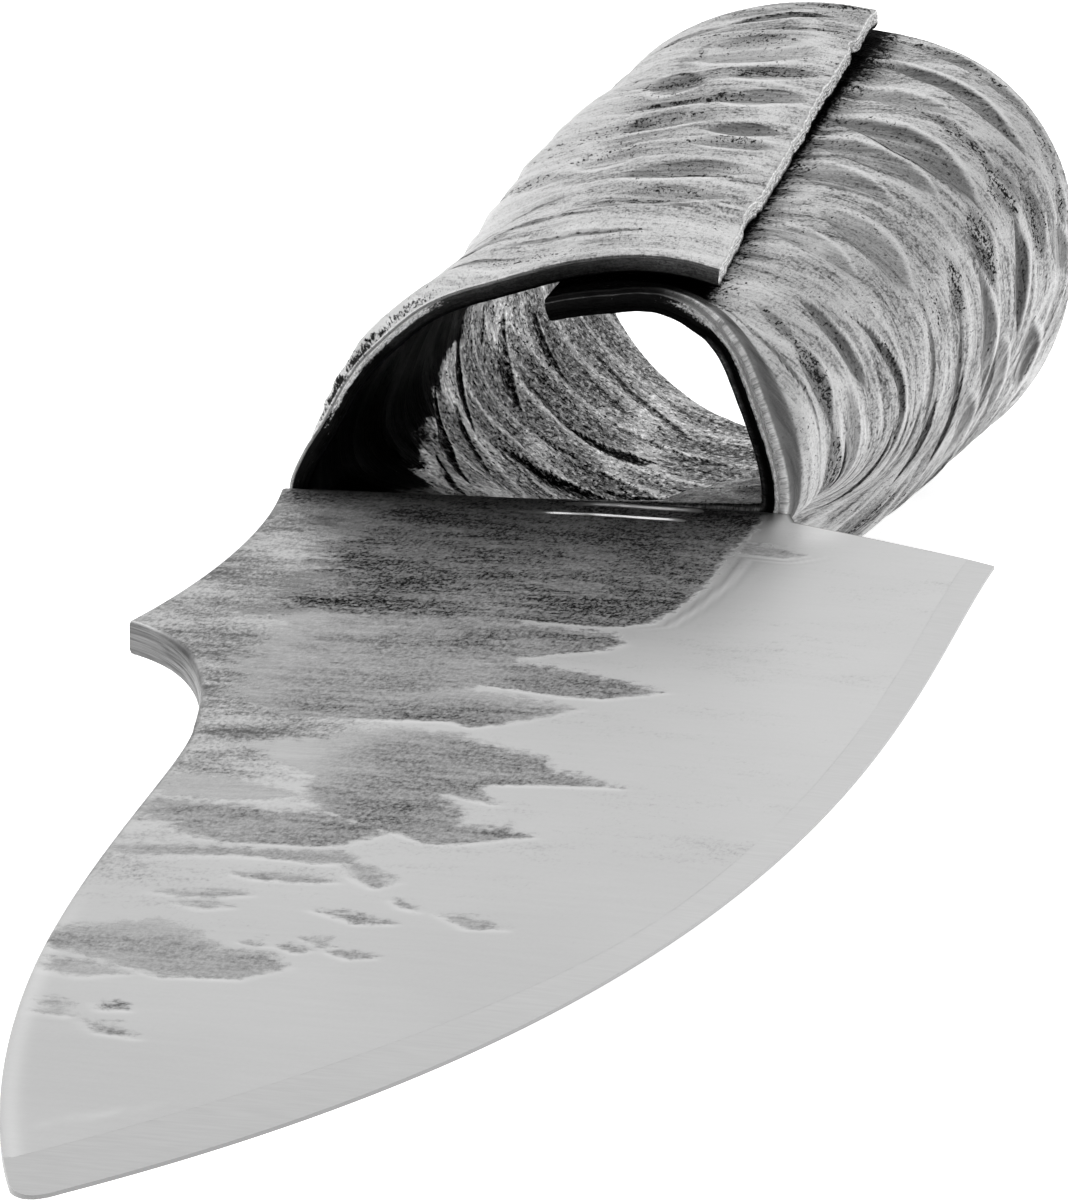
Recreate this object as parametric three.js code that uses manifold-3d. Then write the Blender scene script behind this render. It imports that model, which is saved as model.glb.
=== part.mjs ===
// Slicing knife: a three-layer forged blade and a handle rolled from sheet.
// Millimetres. X runs from the spine to the cutting edge, Y from the tip to the handle's end, Z up out of
// the face. Sizes are taken from the middle of the handle's mouth, which lies in the blade's mid-plane.
import * as THREE from 'three';
import { mergeVertices } from 'three/addons/utils/BufferGeometryUtils.js';
import Module from 'manifold-3d';

const wasm = await Module();
wasm.setup();

// Blade outline
const BLADE_LENGTH = 165.8;
const TIP_OFFSET = 10.15;
const TIP_RADIUS = 1.2;
const NECK_TO_SPINE = 16.4;
const WAIST_TO_SPINE = 14.1;
const CORNER_TO_SPINE = 15.7;
const CORNER_FROM_MOUTH = 43;
const NOTCH_TO_SPINE = 5.3;
const NOTCH_LENGTH = 27;
const HEEL_TO_EDGE = 31;
const HEEL_FROM_MOUTH = 11;
const EDGE_SWELL = 9.02;
const NECK_TO_ROOT = 16.4;
const ROOT_STEP = 2.7;

// Blade thickness, as half of each full thickness
const SPINE_HALF = 1.05;
const CORE_HALF = 0.25;
const EDGE_HALF = 0.1;
const GRIND_WIDTH = 26;
const HEEL_BAND = 1.8;
const TIP_BAND = 5.4;
const CLADDING_LIP = 0.05;

// Handle sheet and the tongue that runs into the blade
const HANDLE_LENGTH = 112;
const SPINE_FLAP_THICKNESS = 1.2;
const EDGE_FLAP_THICKNESS = 1.9;
const FLAP_GAP = 0.35;
const SEAM_SETBACK = 4.5;
const TROUGH_LENGTH = 68;
const TONGUE_WIDTH = 24;
const TONGUE_LENGTH = 34;
const TONGUE_ROOT = 3;
const FIT_GAP = 0.3;

// Handle radii to the middle of the sheet, at the mouth and at the far end
const MOUTH = {
  seam: 18.3,
  crown: 15.3,
  shoulder: 13.7,
  cheek: 14.3,
  spine: 15.7,
  floor: 15.2,
  keel: 13.9,
  edge: 15.6,
  hip: 16.3,
};
const END = {
  seam: 17.4,
  crown: 17.9,
  shoulder: 19.1,
  cheek: 19,
  spine: 18.7,
  floor: 16.1,
  keel: 17.7,
  edge: 17.7,
  hip: 17.5,
};

// Angles round the handle in degrees, from the cutting-edge side over the top
const MOUTH_SEAM_ANGLE = 54;
const MOUTH_TUCK_ANGLE = 90;
const END_SEAM_ANGLE = 79;
const END_TUCK_ANGLE = 108;

// Fineness of the curved stretches
const CURVE_STEPS = 20;
const GRIND_STEPS = 6;
const GIRTH_STEPS = 72;
const LENGTH_STEPS = 14;
const BEND_PASSES = 2;

const point = (x, y) => new THREE.Vector2(x, y);
const mix = THREE.MathUtils.lerp;

// Solids and meshes
function solidFromArrays(positions, triangles) {
  const mesh = new wasm.Mesh({
    numProp: 3,
    vertProperties: new Float32Array(positions),
    triVerts: new Uint32Array(triangles),
  });
  return new wasm.Manifold(mesh);
}

function solidFromGeometry(geometry) {
  geometry.deleteAttribute('normal');
  geometry.deleteAttribute('uv');
  const merged = mergeVertices(geometry, 1e-4);
  return solidFromArrays(merged.attributes.position.array, merged.index.array);
}

function boxSolid(low, high) {
  const size = high.map((value, axis) => value - low[axis]);
  const box = new THREE.BoxGeometry(...size);
  box.translate(...low.map((value, axis) => value + size[axis] / 2));
  return solidFromGeometry(box);
}

function namedMesh(name, solid, colour, roughness, metalness) {
  const data = solid.getMesh();
  const geometry = new THREE.BufferGeometry();
  geometry.setAttribute('position', new THREE.BufferAttribute(data.vertProperties, 3));
  geometry.setIndex(new THREE.BufferAttribute(data.triVerts, 1));
  geometry.computeVertexNormals();
  const material = new THREE.MeshStandardMaterial({ color: colour, roughness, metalness });
  const mesh = new THREE.Mesh(geometry, material);
  mesh.name = name;
  return mesh;
}

// A closed skin over rings of points, each ring a closed convex loop with the same count
function ringSolid(rings) {
  const count = rings[0].length;
  const positions = rings.flat(2);
  const triangles = [];
  for (let i = 0; i < rings.length - 1; i += 1) {
    for (let k = 0; k < count; k += 1) {
      const a = i * count + k;
      const b = i * count + ((k + 1) % count);
      triangles.push(a, a + count, b, b, a + count, b + count);
    }
  }
  return { positions, triangles, count };
}

// Blade outline, seen from the face
function edgeCurve() {
  const heel = point(HEEL_TO_EDGE, -HEEL_FROM_MOUTH);
  const end = point(TIP_OFFSET + TIP_RADIUS, TIP_RADIUS - BLADE_LENGTH);
  const first = point(HEEL_TO_EDGE + 0.06 * EDGE_SWELL, mix(heel.y, end.y, 0.241));
  const second = point(HEEL_TO_EDGE + EDGE_SWELL, mix(heel.y, end.y, 0.703));
  return new THREE.CubicBezierCurve(heel, first, second, end);
}

function bladeOutline() {
  const neck = point(-NECK_TO_SPINE, -FIT_GAP);
  const corner = point(-CORNER_TO_SPINE, -CORNER_FROM_MOUTH);
  const notch = point(-NOTCH_TO_SPINE, corner.y - NOTCH_LENGTH);
  const tipSpine = point(TIP_OFFSET - TIP_RADIUS, TIP_RADIUS - BLADE_LENGTH);
  const tipEdge = point(TIP_OFFSET + TIP_RADIUS, tipSpine.y);
  const edge = edgeCurve();
  const heel = edge.v0;
  const step = point(NECK_TO_ROOT + 0.3 * ROOT_STEP, -FIT_GAP - ROOT_STEP);
  const root = point(NECK_TO_ROOT, -FIT_GAP);
  const waist = [0.32, 0.7].map((part) => point(-WAIST_TO_SPINE, mix(neck.y, corner.y, part)));
  const hollow = point(notch.x - 3.4, mix(corner.y, notch.y, 0.23));
  const drop = [[0.194, 0.132], [0.112, 0.619]].map(
    ([across, along]) => point(mix(notch.x, tipSpine.x, across), mix(notch.y, tipSpine.y, along)),
  );
  const outline = new THREE.Shape();
  outline.add(new THREE.CubicBezierCurve(neck, waist[0], waist[1], corner));
  outline.add(new THREE.QuadraticBezierCurve(corner, hollow, notch));
  outline.add(new THREE.CubicBezierCurve(notch, drop[0], drop[1], tipSpine));
  outline.add(new THREE.QuadraticBezierCurve(tipSpine, point(TIP_OFFSET, tipSpine.y - 2 * TIP_RADIUS), tipEdge));
  outline.add(new THREE.CubicBezierCurve(tipEdge, edge.v2, edge.v1, heel));
  outline.add(new THREE.LineCurve(heel, step));
  outline.add(new THREE.LineCurve(step, root));
  outline.add(new THREE.LineCurve(root, neck));
  return outline;
}

function bladeBlank() {
  const depth = 4 * SPINE_HALF;
  const options = { depth, bevelEnabled: false, curveSegments: CURVE_STEPS };
  const blank = new THREE.ExtrudeGeometry(bladeOutline(), options);
  blank.translate(0, 0, -depth / 2);
  return solidFromGeometry(blank);
}

// The grind: [distance from the cutting edge, half thickness] points from the core's bare band to the flat
function grindProfile(band) {
  const rise = (CORE_HALF + CLADDING_LIP - EDGE_HALF) / (SPINE_HALF - EDGE_HALF);
  const power = Math.log(rise) / Math.log(band / GRIND_WIDTH);
  const profile = [];
  for (let i = 0; i <= GRIND_STEPS; i += 1) {
    const distance = mix(band, GRIND_WIDTH, (i / GRIND_STEPS) ** 1.5);
    const height = EDGE_HALF + (SPINE_HALF - EDGE_HALF) * (distance / GRIND_WIDTH) ** power;
    profile.push([distance, height]);
  }
  return profile;
}

// Points along the cutting edge with the direction into the blade and the width of the core's bare band,
// run on past the heel and the tip
function edgeStations() {
  const curve = edgeCurve();
  const stations = [];
  for (let i = 0; i <= CURVE_STEPS; i += 1) {
    const share = i / CURVE_STEPS;
    const along = curve.getTangent(share);
    const band = mix(HEEL_BAND, TIP_BAND, THREE.MathUtils.smoothstep(share, 0.6, 1));
    stations.push({ at: curve.getPoint(share), along, inward: point(along.y, -along.x), band });
  }
  const first = stations[0];
  const last = stations[CURVE_STEPS];
  const overrun = 2 * GRIND_WIDTH;
  const before = { ...first, at: first.at.clone().addScaledVector(first.along, -overrun) };
  const after = { ...last, at: last.at.clone().addScaledVector(last.along, overrun) };
  return [before, ...stations, after];
}

// Sweeps a profile of [distance, height] points along the edge; FAR carries a height across to the spine
const FAR = Infinity;
function sweepAlongEdge(profileFor) {
  const beyond = -3 * Math.max(NECK_TO_SPINE, CORNER_TO_SPINE);
  const rings = edgeStations().map(({ at, inward, band }) => profileFor(band).map(([distance, height]) => {
    const spot = at.clone().addScaledVector(inward, Math.min(distance, GRIND_WIDTH));
    return [distance === FAR ? Math.min(beyond, spot.x - 1) : spot.x, spot.y, height];
  }));
  const { positions, triangles, count } = ringSolid(rings);
  const lastRing = (rings.length - 1) * count;
  for (let k = 1; k < count - 1; k += 1) {
    triangles.push(0, k, k + 1);
    triangles.push(lastRing, lastRing + k + 1, lastRing + k);
  }
  return solidFromArrays(positions, triangles);
}

function faceCladding(blank) {
  const layer = sweepAlongEdge((band) => {
    const inner = [[band, CORE_HALF], [FAR, CORE_HALF]];
    return [...inner, [FAR, SPINE_HALF], ...grindProfile(band).reverse()];
  });
  return blank.intersect(layer);
}

function backCladding(blank) {
  const layer = sweepAlongEdge((band) => {
    const outer = grindProfile(band).map(([distance, height]) => [distance, -height]);
    return [[band, -CORE_HALF], ...outer, [FAR, -SPINE_HALF], [FAR, -CORE_HALF]];
  });
  return blank.intersect(layer);
}

function bladeCore(blank) {
  const layer = sweepAlongEdge((band) => {
    const rising = [[-2 * TIP_BAND, EDGE_HALF], [0, EDGE_HALF], [band, CORE_HALF], [FAR, CORE_HALF]];
    const below = rising.map(([distance, height]) => [distance, -height]);
    return [...below, ...rising.reverse()];
  });
  const half = TONGUE_WIDTH / 2 + FIT_GAP;
  const pocket = boxSolid([-half, -TONGUE_LENGTH - FIT_GAP, -SPINE_HALF], [half, FIT_GAP, SPINE_HALF]);
  return blank.intersect(layer).subtract(pocket);
}

// Radius against angle round the handle: a smooth curve through [angle, radius] knots
function radiusAt(knots, angle) {
  const last = knots.length - 2;
  const i = Math.min(last, Math.max(0, knots.findIndex(([a]) => a > angle) - 1));
  const slope = (k) => {
    const low = knots[Math.max(0, k - 1)];
    const high = knots[Math.min(knots.length - 1, k + 1)];
    return (high[1] - low[1]) / (high[0] - low[0]);
  };
  const width = knots[i + 1][0] - knots[i][0];
  const t = THREE.MathUtils.clamp((angle - knots[i][0]) / width, 0, 1);
  const rise = t * t * (3 - 2 * t);
  const swell = width * (t * (1 - t) ** 2 * slope(i) - t * t * (1 - t) * slope(i + 1));
  return mix(knots[i][1], knots[i + 1][1], rise) + swell;
}

// Knots from the seam edge, over the spine side, under the floor and up to the edge tucked beneath the seam
function girthKnots(radii, seamAngle, tuckAngle) {
  const over = [[seamAngle, radii.seam], [mix(seamAngle, 135, 0.45), radii.crown], [135, radii.shoulder]];
  const side = [[160, radii.cheek], [180, radii.spine]];
  const under = [[270, radii.floor], [315, radii.keel], [360, radii.edge], [400, radii.hip]];
  const drop = (SPINE_FLAP_THICKNESS + EDGE_FLAP_THICKNESS) / 2 + FLAP_GAP;
  const tucked = [seamAngle, tuckAngle].map((angle) => [360 + angle, radiusAt(over, angle) - drop]);
  return [...over, ...side, ...under, ...tucked];
}

// Middle line of the sheet at one place along the handle, evenly spaced and with its bends rounded
function girthLine(part) {
  const mouth = girthKnots(MOUTH, MOUTH_SEAM_ANGLE, MOUTH_TUCK_ANGLE);
  const end = girthKnots(END, END_SEAM_ANGLE, END_TUCK_ANGLE);
  const knots = mouth.map((knot, i) => knot.map((value, k) => mix(value, end[i][k], part)));
  const depth = THREE.MathUtils.smoothstep(part * HANDLE_LENGTH, 0, TROUGH_LENGTH);
  const points = [];
  const from = knots[0][0];
  const to = knots[knots.length - 1][0];
  for (let i = 0; i <= 2 * GIRTH_STEPS; i += 1) {
    const angle = mix(from, to, i / (2 * GIRTH_STEPS));
    const radius = radiusAt(knots, angle);
    const turn = THREE.MathUtils.degToRad(angle);
    const flatten = angle > 180 && angle < 360 ? depth : 1;
    points.push(point(radius * Math.cos(turn), radius * Math.sin(turn) * flatten));
  }
  let line = new THREE.SplineCurve(points).getSpacedPoints(GIRTH_STEPS);
  for (let pass = 0; pass < BEND_PASSES; pass += 1) {
    line = line.map((spot, i) => {
      if (i === 0 || i === GIRTH_STEPS) {
        return spot;
      }
      return spot.clone().multiplyScalar(2).add(line[i - 1]).add(line[i + 1]).divideScalar(4);
    });
  }
  return line;
}

// How far the front of the spine-side flap stands back from the mouth
function setback(share) {
  return SEAM_SETBACK * (1 - THREE.MathUtils.smoothstep(share, 0, 0.25));
}

function sheetSolid() {
  const rings = [];
  for (let i = 0; i <= LENGTH_STEPS; i += 1) {
    const part = (i / LENGTH_STEPS) ** 1.4;
    const line = girthLine(part);
    const outside = [];
    const inside = [];
    line.forEach((spot, k) => {
      const ahead = line[Math.min(GIRTH_STEPS, k + 1)];
      const behind = line[Math.max(0, k - 1)];
      const along = ahead.clone().sub(behind).normalize();
      const share = k / GIRTH_STEPS;
      const half = mix(SPINE_FLAP_THICKNESS, EDGE_FLAP_THICKNESS, share) / 2;
      const y = mix(setback(share), HANDLE_LENGTH, part);
      outside.push([spot.x + half * along.y, y, spot.y - half * along.x]);
      inside.push([spot.x - half * along.y, y, spot.y + half * along.x]);
    });
    rings.push([...outside, ...inside.reverse()]);
  }
  const { positions, triangles, count } = ringSolid(rings);
  const lastRing = (rings.length - 1) * count;
  for (let k = 0; k < GIRTH_STEPS; k += 1) {
    const [a, b, c, d] = [k, k + 1, count - 2 - k, count - 1 - k];
    triangles.push(a, b, d, b, c, d);
    triangles.push(lastRing + a, lastRing + d, lastRing + b, lastRing + b, lastRing + d, lastRing + c);
  }
  return solidFromArrays(positions, triangles);
}

function rolledHandle() {
  const half = TONGUE_WIDTH / 2;
  const tongue = boxSolid([-half, -TONGUE_LENGTH, -CORE_HALF], [half, TONGUE_ROOT, CORE_HALF]);
  return sheetSolid().add(tongue);
}

// The knife, set down with its origin under the middle of its bounding box
const blank = bladeBlank();
const knife = new THREE.Group();
knife.name = 'slicing_knife';
knife.add(namedMesh('blade_core', bladeCore(blank), 0xb4b4b4, 0.32, 1));
knife.add(namedMesh('face_cladding', faceCladding(blank), 0xa6a6a6, 0.42, 1));
knife.add(namedMesh('back_cladding', backCladding(blank), 0xa6a6a6, 0.42, 1));
knife.add(namedMesh('rolled_handle', rolledHandle(), 0x8a8a8a, 0.45, 1));
const bounds = new THREE.Box3().setFromObject(knife);
const middle = bounds.getCenter(new THREE.Vector3());
knife.children.forEach((mesh) => mesh.geometry.translate(-middle.x, -middle.y, -bounds.min.z));

export default knife;
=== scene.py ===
"""Dresses a forged slicing knife: a three-layer blade and a handle rolled from sheet.

Sizes are in millimetres from the middle of the handle's mouth, which lies in the blade's
mid-plane: x towards the cutting edge, y towards the handle's far end, z out of the blade's
face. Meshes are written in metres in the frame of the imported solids.
"""

from __future__ import annotations

import logging
import math
from dataclasses import dataclass, field
from enum import Enum, IntEnum

import bpy
import numpy as np
from mathutils import Matrix, Vector
from numpy.typing import NDArray


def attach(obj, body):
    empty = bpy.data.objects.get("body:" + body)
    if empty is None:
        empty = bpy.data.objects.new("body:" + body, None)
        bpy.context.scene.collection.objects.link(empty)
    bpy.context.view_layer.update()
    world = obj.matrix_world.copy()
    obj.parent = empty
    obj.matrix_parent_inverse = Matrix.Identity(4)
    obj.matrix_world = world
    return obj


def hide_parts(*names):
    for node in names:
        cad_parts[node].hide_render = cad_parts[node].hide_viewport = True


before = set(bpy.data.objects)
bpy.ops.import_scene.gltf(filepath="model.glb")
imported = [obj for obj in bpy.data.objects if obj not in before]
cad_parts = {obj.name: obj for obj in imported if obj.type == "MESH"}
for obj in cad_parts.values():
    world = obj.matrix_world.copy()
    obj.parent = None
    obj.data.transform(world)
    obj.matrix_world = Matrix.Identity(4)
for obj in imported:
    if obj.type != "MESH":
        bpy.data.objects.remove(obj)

Floats = NDArray[np.float64]
Socket = bpy.types.NodeSocket
Value = bpy.types.NodeSocket | float
Pair = tuple[float, float]

LOG = logging.getLogger("knife")
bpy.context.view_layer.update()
MM = 0.001
SHARP_BEND = 38.0
WALL_TONES = (0.12, 0.23)
NOISE_MIDDLE = (0.3, 0.7)
ROW_SHIFT = (-6.6058, 26.9, 16.8320)


class Side(Enum):
    """The two faces of the blade, with the sign of their height."""

    FACE = 1.0
    BACK = -1.0


class Slot(Enum):
    """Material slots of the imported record."""

    CORE = "core_steel"
    CLADDING = "cladding_iron"
    HANDLE = "handle_iron"


class Seed(IntEnum):
    """Picks of uneven waves, so that no two of them look alike."""

    CREASE = 5
    FACE_WAVES = 11
    TIP_LINE = 15
    TIP_STREAK = 16
    GLINT = 17
    CUT_RIM = 31
    OUTSIDE = 40
    BACK_WAVES = 51
    DRAWN_LINES = 61
    BLOW_ROUND = 63
    BLOW_ALONG = 64
    CHIPS = 66
    RAGGED_END = 70
    SEAM_FINE = 77
    SEAM_BROAD = 79
    GLOOM_BROAD = 83
    INSIDE = 90
    PALE_FLOOR_STREAKS = 91
    GLOOM_FINE = 93
    GLOOM_FRAY = 94


def smooth_rise(value: Floats, low: float, high: float) -> Floats:
    """Rises smoothly from 0 to 1 between two values.

    Args:
        value: Where to read the rise.
        low: Value that gives 0.
        high: Value that gives 1.

    Returns:
        The rise at each value.
    """
    part = np.clip((value - low) / (high - low), 0.0, 1.0)
    return part * part * (3.0 - 2.0 * part)


def fall(value: Floats, low: float, high: float) -> Floats:
    """Falls smoothly from 1 to 0 between two values."""
    return 1.0 - smooth_rise(value, low, high)


def bell(value: Floats, middle: Floats | float, width: float) -> Floats:
    """A bump of height 1 about a middle value."""
    return np.exp(-(((value - middle) / width)**2))


@dataclass(frozen=True)
class Window:
    """A stretch of values with soft ends: it rises to 1, holds and falls back to 0."""

    start: float
    full: float
    fade: float
    end: float

    def at(self, value: Floats) -> Floats:
        """Strength at each value, from 0 to 1."""
        return smooth_rise(value, self.start, self.full) * fall(value, self.fade, self.end)


def scatter(column: Floats, row: Floats, seed: int) -> Floats:
    """Gives each lattice cell its own fixed number.

    Args:
        column: Whole-number cell columns.
        row: Whole-number cell rows.
        seed: Picks one set of numbers.

    Returns:
        Numbers from 0 to 1.
    """
    mixed = column.astype(np.int64) * 374761393 + row.astype(np.int64) * 668265263 + seed * 982451653
    mixed = (mixed ^ (mixed >> 13)) * 1274126177
    mixed = mixed ^ (mixed >> 16)
    return (mixed & 0xFFFFFF) / float(0xFFFFFF)


def ripple(u: Floats, v: Floats, seed: int, octaves: int = 3) -> Floats:
    """Smooth uneven waves over a surface.

    Args:
        u: First coordinate, in wave lengths.
        v: Second coordinate, in wave lengths.
        seed: Picks one set of waves.
        octaves: How many finer layers are added.

    Returns:
        Heights from about -1 to 1.
    """
    total = np.zeros(np.broadcast(u, v).shape)
    strength = 0.5
    for layer in range(octaves):
        x, y = u * 2.0**layer, v * 2.0**layer
        cx, cy = np.floor(x), np.floor(y)
        fx, fy = smooth_rise(x - cx, 0.0, 1.0), smooth_rise(y - cy, 0.0, 1.0)
        near = scatter(cx, cy, seed + layer) * (1 - fx) + scatter(cx + 1, cy, seed + layer) * fx
        far = scatter(cx, cy + 1, seed + layer) * (1 - fx) + scatter(cx + 1, cy + 1, seed + layer) * fx
        total += strength * (2.0 * (near * (1 - fy) + far * fy) - 1.0)
        strength *= 0.5
    return total


def hammer_marks(u: Floats, v: Floats, seed: int) -> tuple[Floats, Floats]:
    """Lays out hammer blows: dished hollows with raised lines where they meet.

    Args:
        u: First coordinate, in mark widths.
        v: Second coordinate, in mark lengths.
        seed: Picks one layout.

    Returns:
        Distance to the middle of the nearest blow, and how far the next blow is beyond it.
    """
    nearest = np.full(u.shape, 9.0)
    second = np.full(u.shape, 9.0)
    cu, cv = np.floor(u), np.floor(v)
    for du in (-1, 0, 1):
        for dv in (-1, 0, 1):
            mu, mv = cu + du, cv + dv
            gap_u = mu + 0.15 + 0.7 * scatter(mu, mv, seed) - u
            gap_v = mv + 0.15 + 0.7 * scatter(mu, mv, seed + 7) - v
            gap = np.sqrt(gap_u**2 + gap_v**2)
            second = np.minimum(second, np.maximum(nearest, gap))
            nearest = np.minimum(nearest, gap)
    return nearest, second - nearest


def bezier(corners: list[tuple[float, float]], count: int) -> Floats:
    """Samples a quadratic or cubic curve.

    Args:
        corners: Three or four control points.
        count: How many points to give.

    Returns:
        Points along the curve, one per row.
    """
    points = np.array(corners)
    part = np.linspace(0.0, 1.0, count)[:, None]
    rows = [points[i] + 0.0 * part for i in range(len(points))]
    while len(rows) > 1:
        rows = [a * (1.0 - part) + b * part for a, b in zip(rows, rows[1:])]
    return rows[0]


def spaced(length: float, step: float, ease: float) -> Floats:
    """Even positions along a length, with close ones at both ends for a rounded border.

    Args:
        length: Whole length.
        step: Even spacing.
        ease: Length of the close stretch at each end.

    Returns:
        Positions from 0 to the length.
    """
    close = ease * np.array([0.0, 0.1, 0.3, 0.6, 1.0])
    inner = np.linspace(2.0 * ease, length - 2.0 * ease, max(2, int(length / step)))
    return np.concatenate([close, inner, length - close[::-1]])


def to_row(points: Floats) -> Floats:
    """Moves points from the mouth's middle to the row's frame, in metres."""
    return (points + np.array(ROW_SHIFT)) * MM


@dataclass
class Skin:
    """Vertices, faces and per-vertex values of one mesh before it is made."""

    points: Floats
    faces: list[list[int]]
    values: dict[str, Floats] = field(default_factory=dict)

    def make(self, name: str, material: bpy.types.Material) -> bpy.types.Object:
        """Makes the mesh object, smooth shaded.

        Args:
            name: Name of the piece.
            material: Its finish.

        Returns:
            The new object.
        """
        mesh = bpy.data.meshes.new(name)
        mesh.from_pydata(to_row(self.points).tolist(), [], self.faces)
        mesh.polygons.foreach_set("use_smooth", [True] * len(mesh.polygons))
        for label, numbers in self.values.items():
            if numbers.ndim == 2:
                layer = mesh.attributes.new(label, "FLOAT_VECTOR", "POINT")
                layer.data.foreach_set("vector", numbers.astype(np.float32).ravel())
            else:
                layer = mesh.attributes.new(label, "FLOAT", "POINT")
                layer.data.foreach_set("value", numbers.astype(np.float32))
        mesh.materials.append(material)
        mesh.update()
        mesh.set_sharp_from_angle(angle=math.radians(SHARP_BEND))
        piece = bpy.data.objects.new(name, mesh)
        bpy.context.scene.collection.objects.link(piece)
        return piece


def settle(piece: bpy.types.Object, node: str) -> None:
    """Hangs a piece under the root and hides the solid that it stands for.

    Args:
        piece: The new piece.
        node: Name of the solid.
    """
    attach(piece, "root")
    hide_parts(node)
    LOG.info("%s: %d faces", piece.name, len(piece.data.polygons))


@dataclass(frozen=True)
class Grain:
    """One layer of noise: repeats per millimetre across, along and out, detail, roughness, turn and warp."""

    across: float
    along: float
    detail: float
    rough: float
    turn: float = 0.0
    warp: float = 0.0
    out: float = 1.0


def set_range(node: bpy.types.Node, source: Pair, target: Pair) -> None:
    """Sets a node to map one range smoothly onto another.

    Args:
        node: The map node.
        source: Ends of the range that goes in.
        target: Ends of the range that comes out.
    """
    node.interpolation_type = "SMOOTHSTEP"
    for label, value in zip(("From Min", "From Max", "To Min", "To Max"), source + target):
        node.inputs[label].default_value = value


class Wiring:
    """A short way to wire the nodes of one finish."""

    def __init__(self, name: str) -> None:
        """Starts a material with a bare surface shader.

        Args:
            name: Name of the finish.
        """
        self.material = bpy.data.materials.new(name)
        self.material.use_nodes = True
        self.nodes = self.material.node_tree.nodes
        self.links = self.material.node_tree.links
        self.surface = self.nodes["Principled BSDF"]

    def put(self, socket: Socket, value: Value) -> None:
        """Links or sets an input.

        Args:
            socket: The input.
            value: An output to link, or a number to set.
        """
        if isinstance(value, bpy.types.NodeSocket):
            self.links.new(value, socket)
        else:
            socket.default_value = value

    def attribute(self, name: str, vector: bool = False) -> Socket:
        """Reads a per-vertex value.

        Args:
            name: Name of the value.
            vector: Whether it has three parts.

        Returns:
            The value's output.
        """
        node = self.nodes.new("ShaderNodeAttribute")
        node.attribute_name = name
        return node.outputs["Vector" if vector else "Fac"]

    def math(self, kind: str, first: Value, second: Value) -> Socket:
        """Joins two numbers by one sum.

        Args:
            kind: Which sum.
            first: First number.
            second: Second number.

        Returns:
            The result's output.
        """
        node = self.nodes.new("ShaderNodeMath")
        node.operation = kind
        self.put(node.inputs[0], first)
        self.put(node.inputs[1], second)
        return node.outputs[0]

    def plus(self, first: Value, second: Value) -> Socket:
        """Adds two numbers."""
        return self.math("ADD", first, second)

    def times(self, first: Value, second: Value) -> Socket:
        """Multiplies two numbers."""
        return self.math("MULTIPLY", first, second)

    def swing(self, value: Socket, strength: float) -> Socket:
        """Turns a noise value into a swing about zero."""
        return self.times(self.math("SUBTRACT", value, 0.5), strength)

    def noise(self, vector: Socket, grain: Grain) -> Socket:
        """Cloudy noise over stretched and turned coordinates.

        Args:
            vector: The coordinates.
            grain: How fine the noise is and how it runs.

        Returns:
            The noise's output.
        """
        place = self.nodes.new("ShaderNodeMapping")
        self.put(place.inputs["Vector"], vector)
        place.inputs["Scale"].default_value = (grain.across, grain.along, grain.out)
        place.inputs["Rotation"].default_value = (0.0, 0.0, math.radians(grain.turn))
        node = self.nodes.new("ShaderNodeTexNoise")
        self.put(node.inputs["Vector"], place.outputs["Vector"])
        node.inputs["Scale"].default_value = 1.0
        node.inputs["Detail"].default_value = grain.detail
        node.inputs["Roughness"].default_value = grain.rough
        node.inputs["Distortion"].default_value = grain.warp
        return node.outputs["Fac"]

    def span(self, value: Socket, source: Pair, target: Pair) -> Socket:
        """Maps one range smoothly onto another.

        Args:
            value: The number to map.
            source: Ends of its range.
            target: Ends of the new range.

        Returns:
            The mapped number's output.
        """
        node = self.nodes.new("ShaderNodeMapRange")
        set_range(node, source, target)
        self.put(node.inputs["Value"], value)
        return node.outputs["Result"]

    def blend(self, part: Value, low: Value, high: Value) -> Socket:
        """Mixes two numbers.

        Args:
            part: Share of the second number.
            low: First number.
            high: Second number.

        Returns:
            The mix's output.
        """
        node = self.nodes.new("ShaderNodeMix")
        node.data_type = "FLOAT"
        for label, value in (("Factor", part), ("A", low), ("B", high)):
            self.put(node.inputs[label], value)
        return node.outputs["Result"]

    def grey(self, value: Socket) -> Socket:
        """Turns a number into a grey colour.

        Args:
            value: The number.

        Returns:
            The colour's output.
        """
        node = self.nodes.new("ShaderNodeCombineColor")
        for channel in ("Red", "Green", "Blue"):
            self.put(node.inputs[channel], value)
        return node.outputs["Color"]

    def finish(self, tone: Socket, rough: Value, height: Socket, depth: float) -> None:
        """Wires tone, roughness and fine relief into the surface, dark tones (scale, painted shadow and painted
        shade) staying dark at a slant.

        Args:
            tone: Grey of the metal.
            rough: Roughness.
            height: Fine relief, from 0 to 1.
            depth: Size of the relief in millimetres.
        """
        self.put(self.surface.inputs["Base Color"], self.grey(tone))
        self.put(self.surface.inputs["Specular Tint"], self.grey(self.span(tone, (0.0, 0.3), (0.02, 1.0))))
        self.put(self.surface.inputs["Roughness"], rough)
        bump = self.nodes.new("ShaderNodeBump")
        bump.inputs["Distance"].default_value = depth * MM
        self.put(bump.inputs["Height"], height)
        self.put(self.surface.inputs["Normal"], bump.outputs["Normal"])


WALL_GRAIN = Grain(0.15, 0.15, 4.0, 0.6, out=0.5)


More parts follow.
